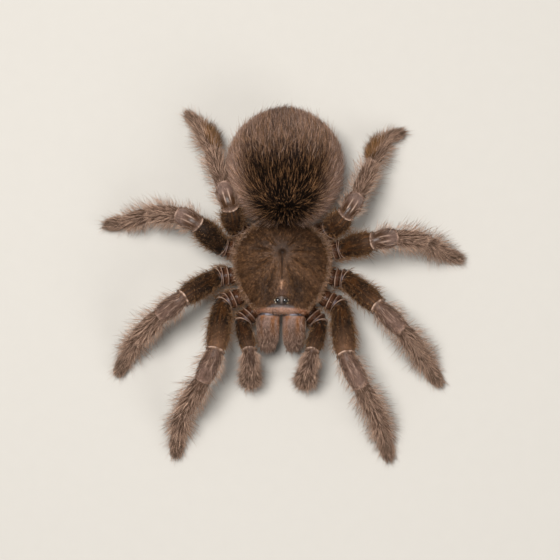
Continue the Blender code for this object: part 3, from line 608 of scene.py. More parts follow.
def rim_marking(colour, limb, rings, u, arc, turn):
    """Pale broken rims: one at each joint from the knee on, and arcs round the base, each with painted
    shade in the fold beside it, and a painted glint on the base.
    """
    for k, (meet, strength) in enumerate(zip(limb.meets[1:], rings)):
        broken = 0.2 + 0.8 * rise(0.35, 0.7, grain(u * 40, arc * 0.1, 31 + k))
        shift = 0.1 * (grain(u * 9, 0 * u, 41 + k) - 0.5)
        # Painted shade in the fold of membrane behind each joint's rim
        colour = layered(colour, (MEDIAN_DARK, 0.7 * strength * hump(arc, meet + 0.35, 0.25)),
                         (RING_CREAM, strength * broken * hump(arc, meet - 0.05 + shift, RING_WIDTH)))
    for k, back in enumerate(BASE_RIMS):
        rim = limb.meets[0] - back
        broken = 0.5 + 0.5 * rise(0.2, 0.5, grain(u * 7, 0 * u, 51 + k))
        # Painted shade in the fold beside each rim of the base
        colour = layered(colour, (ABDOMEN_DARK, 0.7 * hump(arc, rim - 0.5, 0.25)),
                         (RING_CREAM, 0.7 * broken * hump(arc, rim, 0.11)))
    # A painted glint on the bare skin of the base
    glint = hump(arc, limb.meets[0] - GLINT_BACK, GLINT_SPREAD) * hump(turn, 0.0, GLINT_TURN)
    return layered(colour, (GLINT, 0.6 * glint))


def limb_marking(limb, kind, inner_side=0, thigh_shade=1.0):
    """The marking function of a limb: colours at shares round and along it."""
    pale_end, stripes, shin_stripe, rings = PAIR_MARKS[kind]
    segments = PALP_COLOURS if kind == "palp" else LEG_COLOURS
    warm = PALP_WARM if kind == "palp" else FEMUR_WARM

    def marking(u, v):
        arc, turn = limb.place(u, v)
        colour = np.tile(linear(segments[0]), (len(arc), 1))
        for meet, after in zip(limb.meets, segments[1:]):
            colour = layered(colour, (after, rise(meet - 0.3, meet + 0.3, arc)))
        colour = thigh_marking(colour, limb, warm, pale_end, thigh_shade, u, arc, turn)
        colour = knee_marking(colour, limb, stripes, u, arc, turn)
        colour = shin_marking(colour, limb, shin_stripe, u, arc, turn)
        if kind != "palp":
            colour = tarsus_marking(colour, limb, u, arc, turn)
        colour = rim_marking(colour, limb, rings, u, arc, turn)
        if inner_side:
            colour = layered(colour, (PAD_ORANGE, 0.8 * tuft_share(limb, inner_side, arc, turn)))
        # Painted shade: the underside of the limb is darkened
        under = rise(1.6, 2.7, abs(turn))
        return colour * (1 - 0.4 * under)[:, None]

    return marking


def bare_rims(limb, kind):
    """Where a limb's cuticle is bare and glossy: about its coxa, on rings and on the knee cap."""
    def bare(u, v):
        arc, turn = limb.place(u, v)
        shown = 1 - rise(limb.meets[0] + 0.1, limb.meets[0] + 0.9, arc)
        for meet in limb.meets[1:]:
            shown = np.maximum(shown, hump(arc, meet - 0.05, 0.3))
        return np.maximum(shown, 0.8 * knee_cap(limb, PAIR_MARKS[kind][1], arc, turn))
    return bare


# Materials

# Scales of noise for each metre: down 0.22 mm apart, its mottle 0.67 mm, clouds in horn
# 1.1 mm and the floor's paint 4 mm
DOWN_SCALE = 4500.0
MOTTLE_SCALE = 1500.0
CLOUD_SCALE = 900.0
PAINT_SCALE = 250.0
CHITIN_IOR = 1.56
HAIR_SPECULAR = 0.06


def add_node(tree, kind, settings=(), inputs=(), links=()):
    """Adds a node with its settings, its input values and the sockets it is fed from."""
    made = tree.nodes.new(kind)
    for key, value in dict(settings).items():
        setattr(made, key, value)
    for key, value in dict(inputs).items():
        made.inputs[key].default_value = value
    for key, source in dict(links).items():
        tree.links.new(source, made.inputs[key])
    return made


def fresh_material(name, roughness, ior, specular=0.5, coat=0.0):
    """A material with only its shader set: a dielectric of this roughness."""
    material = bpy.data.materials.new(name)
    material.use_nodes = True
    shader = material.node_tree.nodes["Principled BSDF"]
    shader.inputs["Roughness"].default_value = roughness
    shader.inputs["IOR"].default_value = ior
    shader.inputs["Metallic"].default_value = 0.0
    shader.inputs["Specular IOR Level"].default_value = specular
    shader.inputs["Coat Weight"].default_value = coat
    return material, material.node_tree, shader


def velvet_colour(tree, shader, grain_scale, low, high):
    """Marking times fine noise as base colour."""
    marking = add_node(tree, "ShaderNodeAttribute", {"attribute_name": "marking"})
    place = add_node(tree, "ShaderNodeTexCoord")
    fine = add_node(tree, "ShaderNodeTexNoise",
                    inputs={"Scale": grain_scale, "Detail": 4.0, "Roughness": 0.65},
                    links={"Vector": place.outputs["Object"]})
    tone = add_node(tree, "ShaderNodeMapRange",
                    inputs={"From Min": 0.3, "From Max": 0.7, "To Min": low, "To Max": high},
                    links={"Value": fine.outputs["Fac"]})
    toned_colour = add_node(tree, "ShaderNodeVectorMath", {"operation": "SCALE"},
                            links={"Vector": marking.outputs["Color"], "Scale": tone.outputs["Result"]})
    tree.links.new(toned_colour.outputs["Vector"], shader.inputs["Base Color"])
    return place, marking


def clouded(tree, shader, scale, detail, first, last):
    """A base colour that drifts from one colour to another."""
    place = add_node(tree, "ShaderNodeTexCoord")
    cloud = add_node(tree, "ShaderNodeTexNoise", inputs={"Scale": scale, "Detail": detail},
                     links={"Vector": place.outputs["Object"]})
    ramp = add_node(tree, "ShaderNodeValToRGB", links={"Fac": cloud.outputs["Fac"]})
    for element, colour in zip(ramp.color_ramp.elements, (first, last)):
        element.color = (*colour, 1)
    tree.links.new(ramp.outputs["Color"], shader.inputs["Base Color"])


def skin_material():
    """Cuticle under fur: dull with down as fine bumps 0.2 mm apart, and glossy where it is bare."""
    material, tree, shader = fresh_material("downy cuticle", roughness=0.5, ior=CHITIN_IOR, specular=0.2)
    place, marking = velvet_colour(tree, shader, MOTTLE_SCALE, 0.7, 1.25)
    gloss = add_node(tree, "ShaderNodeMapRange", inputs={"To Min": 0.2, "To Max": 0.6},
                     links={"Value": marking.outputs["Alpha"]})
    tree.links.new(gloss.outputs["Result"], shader.inputs["Roughness"])
    down = add_node(tree, "ShaderNodeTexNoise", inputs={"Scale": DOWN_SCALE, "Detail": 2.0},
                    links={"Vector": place.outputs["Object"]})
    relief = add_node(tree, "ShaderNodeBump", inputs={"Strength": 0.5, "Distance": 0.1 * MM},
                      links={"Height": down.outputs["Fac"]})
    tree.links.new(relief.outputs["Normal"], shader.inputs["Normal"])
    return material


def hair_material(name, patch_scale, low, high):
    """Spider hair is chitin: satin, with patches of tone where the coat is brushed apart.

    Hairs shade each other's gloss, so it is kept well below that of a bare surface.
    """
    material, tree, shader = fresh_material(name, roughness=0.6, ior=1.55, specular=HAIR_SPECULAR)
    velvet_colour(tree, shader, patch_scale, low, high)
    return material


def gloss_material(name, colours, roughness, coat):
    """Bare hard cuticle: polished, with faint clouds in it."""
    material, tree, shader = fresh_material(name, roughness=roughness, ior=CHITIN_IOR, coat=coat)
    clouded(tree, shader, CLOUD_SCALE, 2.0, *(linear(colour) for colour in colours))
    return material


def stage_material(name, colour, roughness):
    """A matt painted studio floor, with the faint mottle of rolled paint."""
    material, tree, shader = fresh_material(name, roughness=roughness, ior=1.5)
    clouded(tree, shader, PAINT_SCALE, 3.0, linear(colour) * 0.97, linear(colour))
    return material


SKIN = skin_material()
LIMB_SETAE = hair_material("limb setae", 400.0, 0.94, 1.06)
THIGH_VELVET = hair_material("thigh velvet setae", 450.0, 0.9, 1.1)
FOOT_SETAE = hair_material("foot velvet setae", 600.0, 0.88, 1.12)
ABDOMEN_SETAE = hair_material("abdomen guard hairs", 350.0, 0.9, 1.1)
CARAPACE_SETAE = hair_material("shield velvet setae", 500.0, 0.75, 1.25)
JAW_SETAE = hair_material("jaw velvet setae", 600.0, 0.88, 1.12)
UNDERSIDE_SETAE = hair_material("underside setae", 400.0, 0.85, 1.15)
FANG = gloss_material("polished fang cuticle", HORN_CLOUDS, roughness=0.16, coat=0.5)
CORNEA = gloss_material("glassy cornea", CORNEA_CLOUDS, roughness=0.05, coat=0.3)
CLOUDY_CORNEA = gloss_material("cloudy cornea", SIDE_CORNEA_CLOUDS, roughness=0.12, coat=0.3)


# Skins

# How much closer a skin's columns lie half way round, on its upper or front side
CROWDING = 0.09
# Points of a skin that meet at its seam and its ends lie closer than this
SEAM = 0.004


def fitted(piece, name, material):
    """Names a finished piece, gives it its material, and fixes it to the body."""
    piece.name = name
    piece.data.materials.append(material)
    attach(piece, "root")


def wrap(name, surface, columns, rows, marking, replaced, material=SKIN, steps=None, bare=None):
    """A sheet wrapped round a form's surface. Its sides meet in a seam and its ends close."""
    bpy.ops.object.select_all(action="DESELECT")
    bpy.ops.mesh.primitive_grid_add(x_subdivisions=columns, y_subdivisions=rows, size=2)
    piece = bpy.context.object
    mesh = piece.data
    mesh.name = name
    flat = np.zeros(len(mesh.vertices) * 3)
    mesh.vertices.foreach_get("co", flat)
    flat = flat.reshape(-1, 3)
    u = np.clip((flat[:, 0] + 1) / 2, 0, 1)
    u = u + CROWDING * np.sin(2 * np.pi * u)
    v = np.clip((flat[:, 1] + 1) / 2, 0, 1)
    if steps is not None:
        v = steps(v)
    mesh.vertices.foreach_set("co", in_row(surface(u, v)).ravel())
    paint(mesh, marking(u, v), None if bare is None else bare(u, v))
    bpy.ops.object.mode_set(mode="EDIT")
    bpy.ops.mesh.select_all(action="SELECT")
    bpy.ops.mesh.remove_doubles(threshold=SEAM * MM)
    bpy.ops.mesh.normals_make_consistent(inside=False)
    bpy.ops.object.mode_set(mode="OBJECT")
    bpy.ops.object.shade_smooth()
    fitted(piece, name, material)
    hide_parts(*replaced)


def paint(mesh, colours, bare=None):
    """Stores a colour for each vertex, which the materials read, and in its alpha how downy it is."""
    layer = mesh.color_attributes.new(name="marking", type="FLOAT_COLOR", domain="POINT")
    downy = np.ones(len(colours)) if bare is None else 1 - bare
    layer.data.foreach_set("color", np.column_stack((colours, downy)).ravel())


# Coat

# The faces of a hair, how its corners lie on its patch of the unwrap, and how light each is: painted
# shade darkens the root, as if the coat shaded it, and the tip is a little lighter.
# A straight hair is widest at its root, and a bent one at its bend.
SPIKE = SimpleNamespace(
    faces=((0, 2, 1), (0, 1, 3), (1, 2, 3), (2, 0, 3)),
    patch=((-0.5, -0.5), (0.5, -0.5), (0.0, -0.3), (0.0, 0.5)),
    shades=(0.6, 0.6, 0.65, 1.1))
SPINDLE = SimpleNamespace(
    faces=((1, 2, 4), (2, 3, 4), (3, 1, 4), (2, 1, 0), (3, 2, 0), (1, 3, 0)),
    patch=((0.0, -0.5), (-0.4, 0.0), (0.4, 0.0), (0.0, 0.1), (0.0, 0.5)),
    shades=(0.5, 0.9, 0.9, 1.0, 1.15))
PATCH = 0.003
BEND_SHARE = 0.4
ROOT_SINK = 0.2
SLOPE_STEP = 0.002
HAIR_FLOOR = 0.03
PROBES = 4000


def everywhere(value):
    """A function of places that gives the same value at all of them."""
    return lambda u, v: np.full(len(u), float(value))


class Hair:
    """One layer of hair: how many, where, how long and wide, how it lies, and its colour."""

    def __init__(self, count, length, width, lift, colour, density=1.0, curl=0.4, stray=0.12,
                 bent=True, uneven=0.25):
        self.count = count
        self.length = length if callable(length) else everywhere(length)
        self.width = width
        self.lift = lift if callable(lift) else everywhere(lift)
        self.colour = colour
        self.density = density if callable(density) else everywhere(density)
        self.curl = curl
        self.stray = stray
        self.uneven = uneven
        self.shape = SPINDLE if bent else SPIKE


def slopes(surface, u, v):
    """Places on a surface, with the outward and the onward direction and the area there."""
    before = np.maximum(v - SLOPE_STEP, 0.0)
    after = np.minimum(v + SLOPE_STEP, 1.0)
    onward = surface(u, after) - surface(u, before)
    around = surface(u + SLOPE_STEP, v) - surface(u - SLOPE_STEP, v)
    outward = np.cross(around, onward)
    return surface(u, v), unit(outward), unit(onward), np.linalg.norm(outward, axis=1) / (after - before)


def scatter(surface, density, count, reach):
    """Random places between two shares of a surface's length, as dense as asked."""
    places = np.zeros((0, 2))
    low, high = reach
    probe_u, probe_v = RANDOM.random(PROBES), low + (high - low) * RANDOM.random(PROBES)
    ceiling = np.quantile(slopes(surface, probe_u, probe_v)[3] * density(probe_u, probe_v), 0.995)
    while len(places) < count:
        u = RANDOM.random(2 * count)
        v = low + (high - low) * RANDOM.random(2 * count)
        area = slopes(surface, u, v)[3]
        kept = RANDOM.random(2 * count) * ceiling < area * density(u, v)
        places = np.concatenate((places, np.stack((u[kept], v[kept]), axis=1)))
    return places[:count, 0], places[:count, 1]


def leaning(level, upright, angle):
    """Unit vectors an angle away from one direction towards another."""
    return unit(level * np.cos(angle)[:, None] + upright * np.sin(angle)[:, None])


def strands(layer, surface, reach, flow):
    """The corners of one layer's hairs, their colours and the places of their roots."""
    u, v = scatter(surface, layer.density, layer.count, reach)
    root, outward, onward, _ = slopes(surface, u, v)
    count = len(u)
    length = layer.length(u, v) * (1 + layer.uneven * RANDOM.normal(size=count)).clip(0.4, 1.8)
    lift = np.radians(layer.lift(u, v)) + layer.stray * RANDOM.normal(size=count)
    sway = layer.stray * 1.5 * RANDOM.normal(size=count)
    if flow is not None:
        onward = flow(u, v)
    onward = leaning(onward, unit(np.cross(outward, onward)), sway)
    side = unit(np.cross(outward, onward))
    start = leaning(onward, outward, lift)
    end = leaning(onward, outward, lift * (1 - layer.curl))
    width = layer.width * (1 + 0.2 * RANDOM.normal(size=count)).clip(0.5, 1.5)
    half = side * (width / 2)[:, None]
    ridge = np.cross(start, side) * (width * 0.6)[:, None]
    base = root - outward * ROOT_SINK
    middle = root + start * (length * BEND_SHARE)[:, None]
    tip = middle + end * (length * (1 - BEND_SHARE))[:, None]
    if layer.shape is SPINDLE:
        hair = np.stack((base, middle - half, middle + half, middle + ridge, tip), axis=1)
    else:
        hair = np.stack((base - half, base + half, base + ridge, tip), axis=1)
    hair[:, :, 2] = np.maximum(hair[:, :, 2], HAIR_FLOOR)
    return hair, layer.colour(u, v), np.stack((u, v), axis=1)


def grow(name, surface, layers, reach, material, flow=None):
    """One coat piece: the hairs of all its layers, joined in one mesh."""
    points = []
    triangles = []
    colours = []
    places = []
    total = 0
    for layer in layers:
        hair, colour, place = strands(layer, surface, reach, flow)
        count, corners = hair.shape[:2]
        points.append(hair.reshape(-1, 3))
        firsts = total + corners * np.arange(count)
        triangles.append((firsts[:, None, None] + np.array(layer.shape.faces)[None]).reshape(-1, 3))
        colours.append((colour[:, None, :] * np.array(layer.shape.shades)[None, :, None]).reshape(-1, 3))
        places.append((place[:, None, :] + PATCH * np.array(layer.shape.patch)[None]).reshape(-1, 2))
        total += corners * count
    coat_piece(name, np.concatenate(points), np.concatenate(triangles), np.concatenate(colours),
               np.concatenate(places), material)


def coat_piece(name, points, triangles, colours, places, material):
    """A mesh object from arrays of points, triangles, colours and places on the unwrap."""
    mesh = bpy.data.meshes.new(name)
    mesh.vertices.add(len(points))
    mesh.vertices.foreach_set("co", in_row(points).ravel())
    mesh.loops.add(triangles.size)
    mesh.loops.foreach_set("vertex_index", triangles.ravel().astype(np.int32))
    mesh.polygons.add(len(triangles))
    mesh.polygons.foreach_set("loop_start", np.arange(0, triangles.size, 3, dtype=np.int32))
    mesh.update(calc_edges=True)
    unwrap = mesh.uv_layers.new(name="OFBake")
    unwrap.data.foreach_set("uv", places[triangles.ravel()].ravel())
    paint(mesh, colours)
    piece = bpy.data.objects.new(name, mesh)
    bpy.context.scene.collection.objects.link(piece)
    fitted(piece, name, material)


def toned(marking, pale, share, spread, orange=0.0, uneven=0.25):
    """Hair colours: the marking's own, part of the way to a pale tip, each hair a little apart."""
    def colour(u, v):
        rows = marking(u, v)
        rows = layered(rows, (pale, share + spread * RANDOM.normal(size=len(u))))
        if orange:
            rows = layered(rows, (TUFT_ORANGE, orange * RANDOM.random(len(u)) ** 3))
        return rows * (1 + uneven * RANDOM.normal(size=len(u))).clip(0.3, 2.0)[:, None]

    return colour


# Legs and palps

SKIN_ROW = 0.28
LIMB_COLUMNS = 36
RIM_CUT = 0.85
# Painted shade: how bright a thigh is against full, where the light leaves it
THIGH_SHADES = {("r", 1): 0.88, ("l", 1): 0.88, ("r", 2): 0.64, ("r", 3): 0.36, ("r", 4): 0.8}
PALP_THIGH_SHADE = 0.54
# The coat from coxa to tarsus: lengths of the velvet, of the bristles over it and of the long
# sparse hairs, and how far these two stand off. Then, for shin and foot, how far the velvet
# stands off, how many times as dense it is, and the joint where they meet.
LEG_COAT = SimpleNamespace(
    velvet=(0.7, 1.1, 0.85, 1.0, 1.0, 1.0),
    bristles=(1.8, 1.7, 1.7, 1.8, 1.8, 1.9),
    long=(2.4, 3.0, 3.5, 4.2, 4.2, 2.8),
    bristle_lift=(40, 32, 22, 22, 23, 26),
    long_lift=(45, 50, 52, 58, 58, 38),
    velvet_lift=30, velvet_share=1.0, shin_end=3)
PALP_COAT = SimpleNamespace(
    velvet=(0.6, 0.9, 1.3, 1.4, 1.4),
    bristles=(1.5, 1.4, 2.3, 2.4, 2.3),
    long=(1.8, 2.2, 2.9, 3.2, 3.0),
    bristle_lift=(40, 28, 26, 27, 28),
    long_lift=(45, 50, 40, 42, 40),
    velvet_lift=22, velvet_share=1.4, shin_end=2)
# A limb of this length has the counts of hairs that are given below
COUNTED_LENGTH = 60


def along_limb(limb, values):
    """A function of places that follows one value for each segment of a limb."""
    middles = (limb.ends[:-1] + limb.ends[1:]) / 2
    values = values[:len(middles)]
    return lambda u, v: np.interp(v * limb.length, middles, values)


def open_cuticle(limb, stripes):
    """How dense fur is: thin over bare rims, on the joints' rings, on the knee cap and underneath."""
    def density(u, v):
        arc, turn = limb.place(u, v)
        fur = 0.06 + 0.94 * rise(limb.meets[0] + 0.2, limb.meets[0] + 1.0, arc)
        for meet in limb.meets[1:]:
            fur *= 1 - 0.85 * hump(arc, meet - 0.05, 0.25)
        fur *= 1 - 0.85 * knee_cap(limb, stripes, arc, turn)
        return fur * (1 - 0.55 * rise(1.9, 2.6, abs(turn)))
    return density


def clipped(limb, rings, lengths):
    """Hair lengths that are shorter in front of each joint's rim, the more so the more it shows."""
    reach = along_limb(limb, lengths)

    def length(u, v):
        arc, _ = limb.place(u, v)
        rows = reach(u, v)
        for meet, ring in zip(limb.meets[1:], rings):
            rows = rows * (1 - RIM_CUT * ring * hump(arc, meet - 1.1, 1.15))
        return rows
    return length


def limb_coats(stem, limb, kind, marking, inner_side):
    """The three coat pieces of a limb: thigh, shin and foot."""
    _, stripes, _, rings = PAIR_MARKS[kind]
    coat = PALP_COAT if kind == "palp" else LEG_COAT
    fur = open_cuticle(limb, stripes)
    knee = limb.meets[1] / limb.length
    shin = limb.meets[coat.shin_end] / limb.length
    last = limb.ends[-2]
    area = limb.length / COUNTED_LENGTH
    bristle_lift = along_limb(limb, coat.bristle_lift)
    long_lift = along_limb(limb, coat.long_lift)

    def aside(u, v):
        """Hairs over the femur: most along its sides. Between the coxae they stand in tufts."""
        arc, turn = limb.place(u, v)
        tufts = 1 - rise(limb.meets[0] - 0.2, limb.meets[0] + 0.2, arc)
        flank = abs(turn)
        tufts *= 1.6 * rise(1.0, 1.4, flank) * rise(0.3, 0.6, grain(u * 9, arc * 0.5, 61))
        return np.maximum(tufts, fur(u, v) * (0.2 + 0.8 * rise(0.5, 1.2, flank)))

    def off_stripes(u, v):
        """Hairs of the shin: few on the upper side of the patella."""
        arc, turn = limb.place(u, v)
        upper = 1 - rise(0.6, 1.1, abs(turn))
        return fur(u, v) * (1 - 0.85 * upper * (1 - rise(limb.meets[2] - 1.5, limb.meets[2], arc)))

    def off_tarsus(u, v):
        """Long hairs of the foot: fewer on its last length."""
        return 1 - 0.4 * rise(last, last + 3.0, v * limb.length)

    def on_tuft(u, v):
        return tuft_share(limb, inner_side, *limb.place(u, v))

    def velvet(count, width=0.11, lift=coat.velvet_lift):
        return Hair(int(count * area), clipped(limb, rings, coat.velvet), width, lift,
                    toned(marking, HAIR_PALE, 0.03, 0.06, uneven=0.14), fur, bent=False)

    def bristles(count, width, colour, density, **lie):
        return Hair(int(count * area), clipped(limb, rings, coat.bristles), width, bristle_lift, colour,
                    density, **lie)

    def long_hairs(count, width, colour, density, **lie):
        return Hair(int(count * area), clipped(limb, rings, coat.long), width, long_lift, colour,
                    density, **lie)

    pale = toned(marking, HAIR_PALE, 0.35, 0.3, orange=0.2, uneven=0.2)
    palest = toned(marking, HAIR_PALE, 0.85, 0.2, orange=0.2)
    warm = toned(marking, TUFT_TAN, 0.5, 0.25, orange=0.3, uneven=0.3)
    tan = toned(marking, TUFT_TAN, 0.75, 0.25, orange=0.3)
    tuft = ()
    if inner_side:
        orange = toned(marking, PAD_ORANGE, 0.7, 0.25, uneven=0.3)
        tuft = (Hair(int(1200 * area), 3.1, 0.1, 70, orange, on_tuft, stray=0.25),)
    grow(stem + "thigh_coat", limb.surface, (
        velvet(3900, width=0.12, lift=34),
        bristles(1700, 0.08, warm, aside, stray=0.2),
        long_hairs(600, 0.09, tan, aside, stray=0.3),
    ), (0.0, knee), THIGH_VELVET, limb.flow)
    grow(stem + "shin_coat", limb.surface, (
        velvet(3300 * coat.velvet_share),
        bristles(2400, 0.065, pale, off_stripes, stray=0.12, uneven=0.15),
        long_hairs(900, 0.08, palest, off_stripes, stray=0.2, curl=0.15),
    ), (knee, shin), LIMB_SETAE, limb.flow)
    grow(stem + "foot_coat", limb.surface, (
        velvet(3100 * coat.velvet_share),
        bristles(2300, 0.065, pale, fur, stray=0.12, uneven=0.15),
        long_hairs(800, 0.08, palest, off_tarsus, stray=0.2, curl=0.15),
    ) + tuft, (shin, 1.0), FOOT_SETAE, limb.flow)


def dress_limb(stem, form, kind, nodes, inner_side=0, thigh_shade=1.0):
    """The skin and the coat of one limb."""
    marking = limb_marking(form, kind, inner_side, thigh_shade)
    wrap(stem + "skin", form.surface, LIMB_COLUMNS, int(form.length / SKIN_ROW), marking,
         [stem + node for node in nodes], steps=form.steps, bare=bare_rims(form, kind))
    limb_coats(stem, form, kind, marking, inner_side)


def limbs():
    """Eight legs, of which the hind ones carry an orange tuft on their inner side, and two palps."""
    for side, mirror in MIRRORS.items():
        for pair in LEG_PAIRS:
            inner_side = -mirror if pair == 4 else 0
            dress_limb(f"leg_{side}{pair}_", leg_form(side, pair), pair,
                       ("coxa", "femur", "patella", "tibia", "foot"), inner_side,
                       THIGH_SHADES.get((side, pair), 1.0))
        dress_limb(f"palp_{side}_", palp_form(side), "palp", ("coxa", "femur", "patella", "foot"),
                   thigh_shade=PALP_THIGH_SHADE)


# Abdomen

def abdomen_surface(u, v):
    """An egg with its poles at the waist and at the rear, blunter in front and barely uneven."""
    turn = turn_at(u)
    lean = np.pi * v
    size = 1 + 0.012 * (grain(4 * np.cos(turn) + 9, 4 * v + 5, 3) - 0.5)
    aside = np.clip(np.sin(lean), 0, 1) ** np.where(v < 0.5, ABDOMEN_BLUNTNESS, 1.0)
    sphere = np.stack((aside * np.sin(turn), -np.cos(lean), aside * np.cos(turn)), axis=1)
    return ABDOMEN_CENTRE + sphere * ABDOMEN_SIZE * size[:, None]


def abdomen_marking(u, v):
    """Near black in front and down the back, paler and redder to the sides and the rear."""
    turn = abs(turn_at(u))
    rearness = rise(0.4, 0.8, v)
    sideness = rise(0.6, 1.4, turn) * rise(0.1, 0.3, v)
    return layered(np.tile(linear(ABDOMEN_DARK), (len(u), 1)),
                   (ABDOMEN_BROWN, 0.9 * rise(0.35, 1.1, turn) * rise(0.1, 0.4, v)),
                   (ABDOMEN_PALE, np.maximum(0.5 * rearness, 0.8 * sideness)),
                   (UNDERSIDE_BROWN, 0.7 * rise(1.9, 2.6, turn)))


def abdomen_blond(share):
    """Reddish hair, blonder at random up to a share."""
    return mix(linear(ABDOMEN_ORANGE), linear(ABDOMEN_BLOND), share)


def abdomen_streaks(u, v):
    """Single golden hairs over near black ones in the middle, mostly blond to sides and rear."""
    rows = abdomen_marking(u, v)
    outer = np.maximum(rise(0.4, 0.8, v), rise(0.5, 1.3, abs(turn_at(u))))
    streak = grain(u * 320, v * 12, 7) - 0.5
    lit = RANDOM.random(len(u)) + 0.12 * streak < 0.17 + 0.45 * outer
    reddish = abdomen_blond(outer * RANDOM.random(len(u)))
    rows = np.where(lit[:, None], reddish, rows * 0.8)
    return rows * (1 + 0.25 * RANDOM.normal(size=len(u))).clip(0.4, 1.8)[:, None]


def abdomen_wisps(u, v):
    """Long reddish hairs that stand off to the sides and the rear."""
    return abdomen_blond(0.6 * RANDOM.random(len(u)))


def abdomen_lift(u, v):
    """The coat parts over the front: it fans out over the waist and lies down over the back."""
    return 20 + 52 * (1 - rise(0.08, 0.42, v)) + 0.62 * np.clip(180 * v - 95, 0, None)


def abdomen_reach(u, v):
    """Guard hairs are longest over the front half."""
    return 2.6 + 1.2 * (1 - rise(0.35, 0.75, v))


def on_belly(u, v):
    """Where the abdomen faces down."""
    return rise(1.5, 1.9, abs(turn_at(u)))


def on_back(u, v):
    """Where the abdomen faces up."""
    return 1 - on_belly(u, v)


def behind(u, v):
    """The rear half of its back."""
    return rise(0.45, 0.7, v) * on_back(u, v)


def abdomen():
    """The abdomen's skin, its undercoat, and the guard hairs of back and belly."""
    down = toned(abdomen_marking, ABDOMEN_PALE, 0.0, 0.05)
    coats = (
        ("undercoat", (Hair(15000, 1.9, 0.17, abdomen_lift, down, bent=False),)),
        ("back_coat", (
            Hair(31500, abdomen_reach, 0.09, abdomen_lift, abdomen_streaks, on_back, curl=0.3),
            Hair(1400, 3.6, 0.09, 52, abdomen_wisps, behind, stray=0.3))),
        ("belly_coat", (
            Hair(7500, abdomen_reach, 0.15, abdomen_lift, abdomen_streaks, on_belly, curl=0.3,
                 stray=0.14),)),
    )
    wrap("abdomen_skin", abdomen_surface, 64, 48, abdomen_marking, ["abdomen"])
    for name, layers in coats:
        grow("abdomen_" + name, abdomen_surface, layers, (0.0, 1.0), ABDOMEN_SETAE)


# Shield over head and legs. Its surface runs over the top up to this share of its length.
TOP_SHARE = 0.8


def plan(heading, reach):
    """The place on the plan at a heading and a distance from the fovea."""
    return FOVEA[0] + np.cos(heading) * reach, FOVEA[1] + np.sin(heading) * reach


def carapace_reach_table():
    """How far the shield's edge lies from the fovea, at every half degree of heading."""
    headings = np.radians(np.arange(0.0, 360.0, 0.5))
    outline = np.array(CARAPACE_OUTLINE)
    near = np.zeros(len(headings))
    far = np.full(len(headings), 25.0)
    for _ in range(30):
        middle = (near + far) / 2
        x, y = plan(headings, middle)
        half_width = np.interp(y, outline[:, 0], outline[:, 1], left=0.0, right=0.0)
        inside = abs(x) < half_width
        near = np.where(inside, middle, near)
        far = np.where(inside, far, middle)
    window = np.exp(-(np.arange(-12, 13) / 5.0) ** 2)
    padded = np.concatenate((near[-12:], near, near[:12]))
    return np.degrees(headings), np.convolve(padded, window / window.sum(), mode="valid")


REACH_HEADINGS, REACHES = carapace_reach_table()


def carapace_reach(heading):
    """How far the shield's edge lies from the fovea."""
    return np.interp(np.degrees(heading) % 360, REACH_HEADINGS, REACHES, period=360)


def one_sided(heading):
    """A heading in degrees, as it would be on the left side, since both sides are alike."""
    return np.degrees(np.arctan2(np.sin(heading), abs(np.cos(heading))))


def carapace_height(heading, share):
    """Height of the shield's upper side at a share of the way from fovea to edge."""
    x, y = plan(heading, carapace_reach(heading) * share)
    frontness = np.clip(y / CARAPACE_OUTLINE[0][0], 0, None)
    frontness = frontness * np.clip(1 - (x / FRONT_HALF_WIDTH) ** 2, 0, None)
    rim = CARAPACE_UNDERSIDE + CARAPACE_RIM + FRONT_RISE * frontness
    crown = CARAPACE_UNDERSIDE + CARAPACE_RIM + CARAPACE_RISE
    height = rim + (crown - rim) * (1 - share ** CARAPACE_FALL)
    caput = hump(x, CAPUT[0], CAPUT_SPREAD[0]) * hump(y, CAPUT[1], CAPUT_SPREAD[1])
    height += CAPUT_RISE * caput * (1 - share ** 6)
    height -= FOVEA_DEPTH * hump(share, 0.0, FOVEA_SHARE)
    within = np.sin(np.pi * np.clip((share - GROOVE_START) / (GROOVE_END - GROOVE_START), 0, 1)) ** 2
    for groove in GROOVE_HEADINGS:
        height -= GROOVE_DEPTH * hump(one_sided(heading), groove, GROOVE_HALF_WIDTH) * within
    # A fine crease runs forwards from the fovea, then a low ridge up to the eyes
    height -= CREASE_DEPTH * between(y, 2.9, 2.2, -3.2, -4.4) * hump(x, 0.0, 0.25)
    ridge_width = 0.5 + 0.12 * np.clip(-4 - y, 0, None)
    height += RIDGE_HEIGHT * between(y, -3.6, -5.0, -8.0, -9.0) * hump(x, 0.0, ridge_width)
    # The front edge is turned up in a low rounded lip
    return height + LIP_HEIGHT * rise(-11.0, -12.6, y) * np.clip(1 - (x / 8.4) ** 8, 0, None)


def carapace_surface(u, v):
    """Upper side from the fovea to the edge, then round the rim and back underneath."""
    heading = heading_at(u)
    top = np.minimum(v / TOP_SHARE, 1.0)
    below = np.clip((v - TOP_SHARE) / (1 - TOP_SHARE), 0, 1)
    share = np.where(below > 0, 1 - below, top)
    x, y = plan(heading, carapace_reach(heading) * share)
    height = carapace_height(heading, top) - CARAPACE_SINK * (1 - 0.5 * top)
    height = np.where(below > 0, CARAPACE_UNDERSIDE + 0.1, height)
    return np.stack((x, y, height), axis=1)


def on_shield(u, v):
    """Heading and distance from the fovea, share of the way to the edge, and place on the plan."""
    heading = heading_at(u)
    share = np.minimum(v / TOP_SHARE, 1.0)
    reach = carapace_reach(heading) * share
    return heading, reach, share, *plan(heading, reach)


def crease_length(y):
    """Where the crease runs in front of the fovea, darkened with painted shade."""
    return between(y, 3.0, 2.4, -3.2, -4.2)


def front_band(x, y):
    """The hairy band along the front edge."""
    start = -11.15 - 0.012 * x * x
    return rise(start, start - 0.35, y) * (1 - rise(7.6, 8.8, abs(x)))


